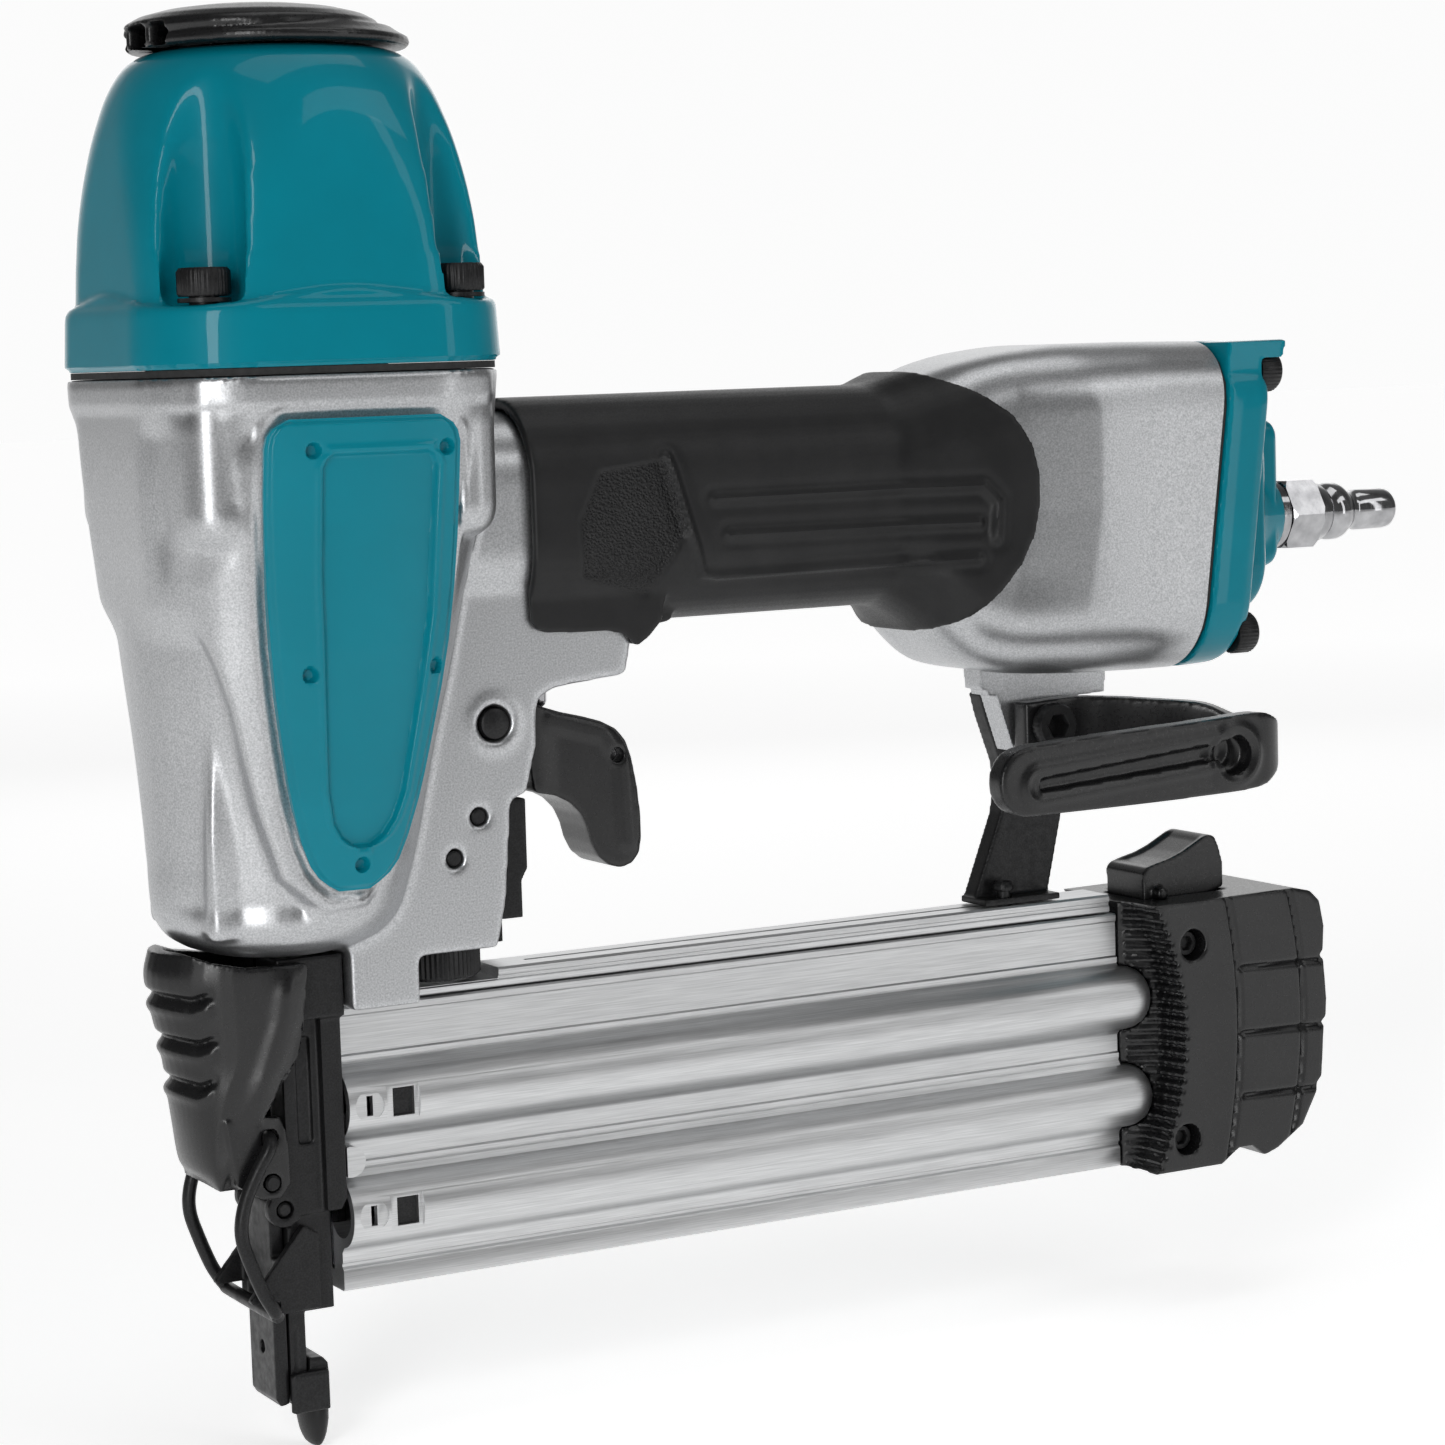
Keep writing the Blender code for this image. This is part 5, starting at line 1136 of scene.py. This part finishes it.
def cover_section():
    """Section of the sliding cover in (y, z), its walls ridged beside two round ribs a side."""
    def rib(z, radius, wall):
        reach = math.sqrt(radius ** 2 - (wall - BULGE_Y) ** 2)
        angle = math.degrees(math.atan2(reach, wall - BULGE_Y))
        return arc((BULGE_Y, z), radius, angle, -angle, 26)

    upper, lower = BULGE_Z
    side = [(4.7, -106.6), (5.0, -106.9), (5.0, -107.9), (4.75, -108.2), (4.75, -114.5), (5.15, -114.8),
            (5.15, -115.5), (5.0, -116.0)]
    side += rib(upper, BULGE_R, 5.0)[1:-1]
    side += [(5.0, -129.2), (4.75, -129.6), (4.75, -132.7), (5.15, -133.0), (5.15, -133.8),
             (5.0, -134.3)]
    side += rib(lower, BULGE_R, 5.0)[1:-1]
    side += [(5.0, -147.8), (4.75, -148.2), (4.75, -149.9), (4.4, -150.1), (4.4, -150.6),
             (4.8, -150.9), (5.0, -151.2), (5.0, -154.3), (4.6, -154.7)]
    far, near = [[(y, -106.6), *rib(upper, BULGE_BORE, y), *rib(lower, BULGE_BORE, y), (y, -151.6)]
                 for y in (2.4, 0.95)]
    return [(-y, z) for y, z in side] + side[::-1] + far + [(-y, z) for y, z in near[::-1]]


def bulge_profile(grow):
    """Round end of a rib of the cover, for a turned body."""
    return [(0, 150.0), (BULGE_R + grow, 150.0)] + [
        (max(r, 0.0) + grow * (r > 0), x + grow) for r, x in
        ((6.0, 161.0), (5.8, 162.4), (5.2, 163.8), (4.2, 164.9), (2.8, 165.6), (1.3, 165.95), (0, 166.0))]


def make_magazine():
    cover = prism(cover_section(), "X", MAG_FRONT, MAG_BACK)
    ends = [lathe(bulge_profile(0.0), "X", (sign * BULGE_Y, z), 40) for sign in (-1, 1) for z in BULGE_Z]
    cuts = [box((149.0, -0.95, -151.6), (MAG_BACK + 1.0, 2.4, -106.6)),
            box((MAG_BACK, -4.2, -148), (170, 4.2, -116))]
    for z in BULGE_Z:
        recess = box((9.0, -16, z - 3.0), (15.0, -9.8, z + 3.0))
        window = box((10.3, -16, z - 2.4), (14.2, -5.5, z + 2.4))
        dimple = rod("Y", (5.9, z), 2.6, -16, -10.2, 36)
        slit = box((5.4, -16, z - 1.7), (6.5, -8.2, z + 1.7))
        bores = [rod("X", (sign * BULGE_Y, z), BULGE_BORE, 150.0, 163.6) for sign in (-1, 1)]
        cuts += [recess, window, dimple, slit, *bores]
    # a thin dark sheet across each window: painted shade for the shaded inside of the rib seen through it
    upper, lower = [box((9.9, -9.0, z - 2.4), (14.6, -8.7, z + 2.4)) for z in BULGE_Z]
    put("window_shade_sheets", combine(upper, add(lower)), slot="black_steel", body=NODE_BODY["magazine_cover"])
    boss = rod("Y", (2.9, -132.0), 2.6, -8.6, -4.9, 40)
    boss = combine(boss, cut(box((-5, -20, -160), (MAG_FRONT, 0, -100))))
    put("magazine_shell", combine(cover, add(*ends), cut(*cuts), add(boss)), "magazine_cover")

    section = [(4.1, -103.0), (4.5, -103.4), (4.5, -104.3), (4.2, -104.5), (4.2, -105.0), (4.5, -105.2),
               (4.5, -106.0), (4.3, -106.3), (2.1, -106.3), (2.1, -150.9), (0.9, -150.9), (0.9, -106.3),
               (-4.3, -106.3), (-4.5, -106.0), (-4.5, -105.2), (-4.2, -105.0), (-4.2, -104.5),
               (-4.5, -104.3), (-4.5, -103.4), (-4.1, -103.0)]
    cuts = [box(low, high) for low, high in (
        ((0, -10, -104.9), (33.0, 10, -100)), ((0, -10, -106.5), (15.6, 0.9, -100)),
        ((0, 2.1, -107.0), (15.6, 10, -100)), ((0, 0, -106.5), (15.6, 5, -100)),
        ((40.0, -0.6, -103.4), (150.0, 0.6, -100)))]
    rail = combine(prism(section, "X", 2.2, 159.0), cut(rod("Z", FOOT_SCREW, 1.5, -104.9, -95, 32), *cuts))
    put("rail_extrusion", rail, "magazine_rail")

    brads = 51
    pitch = 65.6 / brads
    edge = []
    for k in range(brads):
        x = -5.6 + pitch * k
        edge += [(x + 0.06, 0.36), (x + 0.16, 0.5), (x + pitch - 0.16, 0.5), (x + pitch - 0.06, 0.36)]
    strip = prism(edge + [(x, -y) for x, y in edge[::-1]], "Z", -151.0, -107.0)
    put("brads", strip, "brad_strip")
    front, back = 62.0, 70.0
    plate = box((front - 1.5, -0.6, -149.5), (back + 2.0, 0.6, -108.0))
    lugs = []
    for z in BULGE_Z:
        lugs.append(rod("X", (-BULGE_Y, z), 3.9, front, back, 32))
        lugs.append(box((front, -4.0, z - 1.9), (back, 0.0, z + 1.9)))
    put("pusher_block", soften(combine(plate, add(*lugs)), 2, 0.3), "nail_pusher")


def make_end_cap():
    half, front = 15.0, 160.9
    core = prism(
        [(160.4, -104.4), (194.0, -104.0), (198.0, -104.9), (200.2, -107.0), (201.2, -112.0), (200.9, -116.6),
         (199.9, -117.5), (201.0, -118.4), (201.6, -126.0), (201.4, -129.4), (200.2, -130.3), (200.9, -131.2),
         (200.2, -140.8), (199.0, -142.0), (199.0, -143.6), (195.6, -149.6), (189.6, -153.4), (186.4, -154.4),
         (183.6, -152.2), (180.4, -152.2), (176.6, -154.8), (160.4, -154.8)], "Y", -half, half)
    cuts = []
    ribs, top, bottom = 25, -104.6, -154.8
    for sign in (-1, 1):
        rings = []
        for k in range(-4, ribs * 8 + 5):
            z = top + (bottom - top) * k / (ribs * 8)
            bow = max(0.0, 1.0 - ((z + 129.0) / 25.5) ** 2)
            lip = 161.4 + 7.0 * bow
            wave = 0.75 * (0.5 - 0.5 * math.cos(2 * math.pi * k / 8))
            middle = front + (lip - front) * 0.6 + wave + 1.2 * bow
            rings.append([(150, sign * 5.2, z), (front, sign * 5.2, z), (middle, sign * 8.6, z),
                          (lip + wave, sign * (half + 1), z), (150, sign * (half + 1), z)])
        cuts.append(loft(rings))
        for z in BULGE_Z:
            cuts.append(lathe(bulge_profile(0.2), "X", (sign * BULGE_Y, z), 40))
    cuts.append(prism([(165.2, -90), (165.2, -107.4), (184.6, -108.6), (184.6, -90)], "Y", -6.6, 6.6))
    cuts += [rod("Y", place, 2.9, -16, -11.0, 40) for place in END_SCREWS]
    cuts += [rod("Y", place, 1.8, -13, 8.0, 32) for place in END_SCREWS]
    cuts.append(rod("Y", BUTTON_PIN, 1.5, -9.0, 9.0, 32))
    shell = soften(combine(core, cut(*cuts)), 3, 0.4)

    def relief(points, normals):
        x, y, z = points.T
        flank = rise(np.abs(normals[:, 1]), 0.3, 0.7) * (np.abs(y) > 12.0)
        depth = -0.4 * flank * ((x - 182.0) / 20.0) ** 2 * rise(x, 168, 176)
        lip = (normals[:, 0] < -0.3) * (np.abs(y) > 5.6) * (x < 171.0) * (np.abs(normals[:, 2]) < 0.6)
        depth += 0.25 * lip * np.cos(2 * math.pi * (z - top) * ribs / (bottom - top))
        for foot, belly in ((178.2, 181.0), (192.5, 196.0)):
            line = foot + (belly - foot) * (1 - ((z + 128.0) / 25.0) ** 2)
            depth -= 0.75 * flank * np.exp(-((x - line) / 0.48) ** 2)
        for level in (-117.8, -130.3, -142.3):
            line = level - 0.03 * (x - 180.0)
            reach = np.maximum(flank * rise(x, 180.5, 182.0), (x > 198.0) * (np.abs(y) < 14.0))
            depth -= 0.75 * reach * np.exp(-((z - line) / 0.48) ** 2)
        return depth

    put("end_cap_shell", sculpt(shell, relief), "end_cap")
    for index, place in enumerate(END_SCREWS, 1):
        head = knurled_head("Y", place, 2.6, -11.4, -12.6, 12, 1.3, 0.05)
        shank = rod("Y", place, 1.5, -11.6, 7.0, 24)
        put(f"end_screw_{index}", combine(head, add(shank)), f"end_cap_screw_{index}")

    button = prism(
        [(165.8, -101.9), (165.7, -99.6), (166.6, -98.6), (168.6, -98.0), (172.2, -97.2), (175.0, -96.2),
         (177.6, -94.9), (179.6, -93.9), (181.2, -93.5), (182.3, -94.0), (183.2, -96.0), (184.0, -98.8),
         (184.0, -103.6), (180.0, -105.0), (165.8, -105.8)], "Y", -6.2, 6.2)
    button = combine(button, add(rod("Y", BUTTON_PIN, 1.2, -8.6, 8.6, 24)))

    def thumb(points, normals):
        x, y, _ = points.T
        upper = normals[:, 2] > 0.4
        return -0.5 * upper * rise(x, 166.5, 169.5) * rise(x, 181.0, 178.5) * rise(np.abs(y), 5.6, 4.2)

    put("button_paddle", sculpt(soften(button, 4, 0.32), thumb), "latch_button")


# ---------------------------------------------------------------- springs
def coil(axis, centre, radius, low, high, turns, wire):
    """Compression spring, wound closer at its two ends."""
    path = []
    for k in range(turns * 24 + 1):
        share = k / (turns * 24)
        level = low + (high - low) * (share - 0.12 * math.sin(2 * math.pi * share))
        angle = 2 * math.pi * turns * share
        u, v = centre[0] + radius * math.cos(angle), centre[1] + radius * math.sin(angle)
        path.append(placed(axis, u, v, level))
    return sweep(path, wire, 8)


def make_springs():
    """Wound springs, each on a mesh of its own."""
    springs = [("head_valve_spring", "head_valve_lift", "Z", (HEAD_X, 0.0), 14.0, 5.2, 30.9, 5, 0.9, 4.0),
               ("valve_spring", "trigger_pull", "Z", (STEM_X, 0.0), 3.4, -48.0, -39.7, 6, 0.4, 2.4),
               ("contact_spring", "contact_arm_slide", "Z", (20.0, 14.8), 1.35, -104.0, -80.6, 16, 0.3, 8.0)]
    springs += [(f"pusher_spring_{end}", "pusher_slide", "X", (-BULGE_Y, z), 3.2, 70.7, 158.6, 30, 0.35, 80.0)
                for z, end in zip(BULGE_Z, ("upper", "lower"))]
    for name, joint, axis, centre, radius, low, high, turns, wire, travel in springs:
        made = put(f"{name}_coil", coil(axis, centre, radius, low, high, turns, wire), name)
        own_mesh(made)


# ---------------------------------------------------------------- arm and belt hook
def make_arm():
    arm = prism([(134.6, -64.0), (137.0, -62.2), (146.0, -62.2), (151.5, -65.0), (153.0, -80.0),
                 (152.0, -87.0), (148.3, -102.7), (131.9, -102.7), (138.4, -86.5), (139.4, -81.0),
                 (138.6, -76.5), (135.6, -68.0)],
                "Y", 0.1, 4.3)
    foot = box((131.9, -4.3, -102.7), (148.3, 4.3, -101.5))
    holes = cut(rod("Y", HOOK_SCREW, 2.4, -10, 8, 32), rod("Z", FOOT_SCREW, 1.5, -110, -95, 32))
    put("rear_strut", soften(combine(arm, add(foot), holes), 3, 0.35), "rear_arm")
    head = knurled_head("Z", FOOT_SCREW, 1.9, -100.3, -98.6, 16, 0.9, 0.04)
    put("strut_screw", combine(head, add(rod("Z", FOOT_SCREW, 1.2, -104.6, -100.2, 24))), "arm_screw")

    # the strap's middle line in (x, y), then its lower and upper edge
    strap = [(137.0, -9.0, -73.6, -65.0), (147.0, -9.2, -74.0, -64.6), (154.0, -12.4, -75.4, -64.8),
             (161.0, -17.0, -77.2, -65.4), (168.0, -22.2, -79.0, -66.2), (172.0, -26.6, -77.4, -68.6),
             (174.2, -31.0, -75.8, -70.2), (172.4, -35.4, -77.8, -68.6), (168.0, -37.2, -80.4, -66.9),
             (155.0, -37.4, -81.0, -67.6), (135.0, -37.4, -81.3, -68.4), (119.0, -37.4, -81.4, -69.2)]
    keyed = smooth_rows([(i, *row) for i, row in enumerate(strap)], 66)
    half_thick = 2.3
    rings = []
    for i, (_, x, y, low, high) in enumerate(keyed):
        before, after = keyed[max(i - 1, 0)], keyed[min(i + 1, len(keyed) - 1)]
        along = Vector((after[1] - before[1], after[2] - before[2])).normalized()
        side = Vector((-along.y, along.x)) * half_thick
        rings.append([(x + side.x, y + side.y, low), (x - side.x, y - side.y, low),
                      (x - side.x, y - side.y, high), (x + side.x, y + side.y, high)])
    tip = rod("Y", HOOK_TIP, 6.0, -39.7, -35.1)
    slot = prism([(121.0, -77.3), (161.0, -74.6), (161.0, -71.6), (121.0, -75.0)], "Y", -45, -38.0)
    eye, hole = rod("Y", HOOK_EYE, 3.5, -45, -36.3), rod("Y", HOOK_SCREW, 2.4, -20, 0, 32)
    hook = soften(combine(loft(rings), add(tip), cut(eye, hole, slot)), 7, 0.42)

    def rims(points, normals):
        x, y, z = points.T
        face = (normals[:, 1] < -0.5) & (y < -36.0)
        slot = distance_to_path(x, z, [(121.0, -76.1), (160.0, -73.2)])
        eye = np.abs(np.hypot(x - HOOK_EYE[0], z - HOOK_EYE[1]) - 5.0)
        return 0.5 * face * np.maximum(np.exp(-((slot - 2.9) / 0.8) ** 2), np.exp(-(eye / 0.9) ** 2))

    put("belt_hook_strap", sculpt(hook, rims), "belt_hook")
    head = knurled_head("Y", HOOK_SCREW, 4.2, -11.7, -14.4, 30, 2.2, 0.08)
    put("belt_hook_screw", combine(head, add(rod("Y", HOOK_SCREW, 2.1, -12.0, 3.8, 24))), "hook_screw")


for make in (
        make_camera, make_stage, dress_cad_nodes, make_housing, make_badges, make_cap, make_cap_screws,
        make_deflector, make_grip, make_rear, make_trigger, make_nose, make_latch, make_contact,
        make_magazine, make_end_cap, make_arm, make_springs):
    make()
